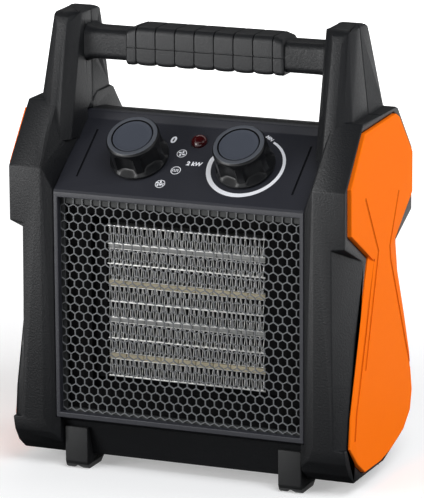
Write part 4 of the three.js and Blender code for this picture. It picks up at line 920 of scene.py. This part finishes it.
def make_camera():
    """A long lens from the right and above, as the photograph was taken."""
    yaw, pitch, roll = CAMERA_YAW, CAMERA_PITCH, CAMERA_ROLL
    ahead = Vector((-math.sin(yaw) * math.cos(pitch), math.cos(yaw) * math.cos(pitch), -math.sin(pitch)))
    right = Vector((math.cos(yaw), math.sin(yaw), 0))
    up = right.cross(ahead)
    tilted_right = right * math.cos(roll) + up * math.sin(roll)
    tilted_up = up * math.cos(roll) - right * math.sin(roll)
    data = bpy.data.cameras.new("camera")
    data.lens = LENS
    data.sensor_width = SENSOR
    data.sensor_fit = "AUTO"
    data.clip_end = 50
    camera = bpy.data.objects.new("camera", data)
    turn = Matrix((tilted_right, tilted_up, -ahead)).transposed().to_4x4()
    camera.matrix_world = Matrix.Translation(CAMERA_PLACE) @ turn
    bpy.context.scene.collection.objects.link(camera)
    bpy.context.scene.camera = camera


def seen_directly(tree):
    """1 for what is seen by the camera, in a mirror or through glass, 0 for rays
    that only carry light."""
    path = add(tree, "ShaderNodeLightPath")
    seen = add(tree, "ShaderNodeMath", {
        "operation": "MAXIMUM", 0: path["Is Camera Ray"], 1: path["Is Glossy Ray"]})[0]
    return add(tree, "ShaderNodeMath", {"operation": "MAXIMUM", 0: seen, 1: path["Is Transmission Ray"]})[0]


def make_world():
    """White to the eye and in reflections; a plain level of light elsewhere."""
    world = bpy.data.worlds.new("studio")
    world.use_nodes = True
    tree = world.node_tree
    tree.nodes.clear()
    strength = add(tree, "ShaderNodeMapRange", {
        "To Min": WORLD_LEVEL, "To Max": 1.0, "Value": seen_directly(tree)})[0]
    sky = add(tree, "ShaderNodeBackground", {"Color": (1, 1, 1, 1), "Strength": strength})[0]
    add(tree, "ShaderNodeOutputWorld", {"Surface": sky})
    bpy.context.scene.world = world


def sheet(name, width, height, material):
    """A flat rectangle that faces up, as a new object."""
    w, h = width / 2, height / 2
    mesh = bpy.data.meshes.new(name)
    mesh.from_pydata([(-w, -h, 0), (w, -h, 0), (w, h, 0), (-w, h, 0)], [], [(0, 1, 2, 3)])
    mesh.materials.append(material)
    obj = bpy.data.objects.new(name, mesh)
    bpy.context.scene.collection.objects.link(obj)
    return obj


def make_floor():
    """Pale floor that reads as white but keeps the shadow under the heater."""
    material, tree = new_material("white_studio_floor")
    seen = seen_directly(tree)
    colour = add(tree, "ShaderNodeMix", {"data_type": "RGBA", 0: seen, 6: FLOOR_SHADE, 7: FLOOR_WHITE})[2]
    paint = add(tree, "ShaderNodeBsdfDiffuse", {"Color": colour})[0]
    place = add(tree, "ShaderNodeTexCoord")["Object"]
    away = add(tree, "ShaderNodeVectorMath", {"operation": "LENGTH", 0: place})["Value"]
    fade = add(tree, "ShaderNodeMapRange", {
        "From Min": FADE_START, "From Max": FADE_END, "To Min": FLOOR_GLOW, "To Max": 1.0, "Value": away})[0]
    strength = add(tree, "ShaderNodeMath", {"operation": "MULTIPLY", 0: seen, 1: fade})[0]
    lift = add(tree, "ShaderNodeEmission", {"Color": (1, 1, 1, 1), "Strength": strength})[0]
    shader = add(tree, "ShaderNodeAddShader", {0: paint, 1: lift})[0]
    add(tree, "ShaderNodeOutputMaterial", {"Surface": shader})
    floor = sheet("floor", FLOOR_SIDE, FLOOR_SIDE, material)


def make_card(name, place, normal, width, height, tone=0.02):
    """Dark card beside the set, which only reflections see."""
    material, tree = new_material(name + "_flock")
    flock = add(tree, "ShaderNodeBsdfDiffuse", {"Color": (tone, tone, tone, 1)})[0]
    add(tree, "ShaderNodeOutputMaterial", {"Surface": flock})
    card = sheet(name, width, height, material)
    card.rotation_euler = Vector(normal).to_track_quat("Z", "Y").to_euler()
    card.location = place
    card.visible_camera = False
    card.visible_diffuse = False
    card.visible_shadow = False


def make_lamp(name, place, aim_height, size, power, tint=(1, 1, 1), mirrored=False):
    """A rectangular lamp that points at the middle of the heater. Reflections
    show it only where it is mirrored."""
    data = bpy.data.lights.new(name, "AREA")
    data.shape = "RECTANGLE"
    data.size, data.size_y = size
    data.energy = power
    data.color = tint
    lamp = bpy.data.objects.new(name, data)
    lamp.location = place
    lamp.visible_glossy = mirrored
    lamp.rotation_euler = (Vector((0, 0, aim_height)) - Vector(place)).to_track_quat("-Z", "Y").to_euler()
    bpy.context.scene.collection.objects.link(lamp)


make_camera()
make_world()
make_floor()
make_card("card_left", (-1.4, 0.3, 0.8), (1, 0, 0), 2.4, 1.8)
make_card("card_top", (0, -0.2, 2.0), (0, 0, -1), 3.0, 3.0)
make_card("card_front", (1.2, -2.2, 0.9), (-0.5, 1, 0), 2.4, 2.4)
make_card("card_back", (-0.3, 1.7, 0.85), (0, -1, 0), 3.4, 1.3, 0.04)
make_card("card_below", (0, -0.1, 0.003), (0, 0, 1), 0.7, 0.5)
make_lamp("key", (-0.95, -1.25, 0.42), 0.14, (0.9, 0.7), 15, mirrored=True)
make_lamp("back", (-0.6, 2.2, 0.5), 0.14, (1.6, 0.8), 14)
make_lamp("side", (2.0, 0.7, 0.6), 0.12, (1.0, 1.0), 24)
make_lamp("main", (1.0, -1.0, 1.7), 0.12, (1.2, 1.0), 25, tint=(0.95, 0.97, 1.0))

bpy.context.scene.view_settings.view_transform = "Standard"
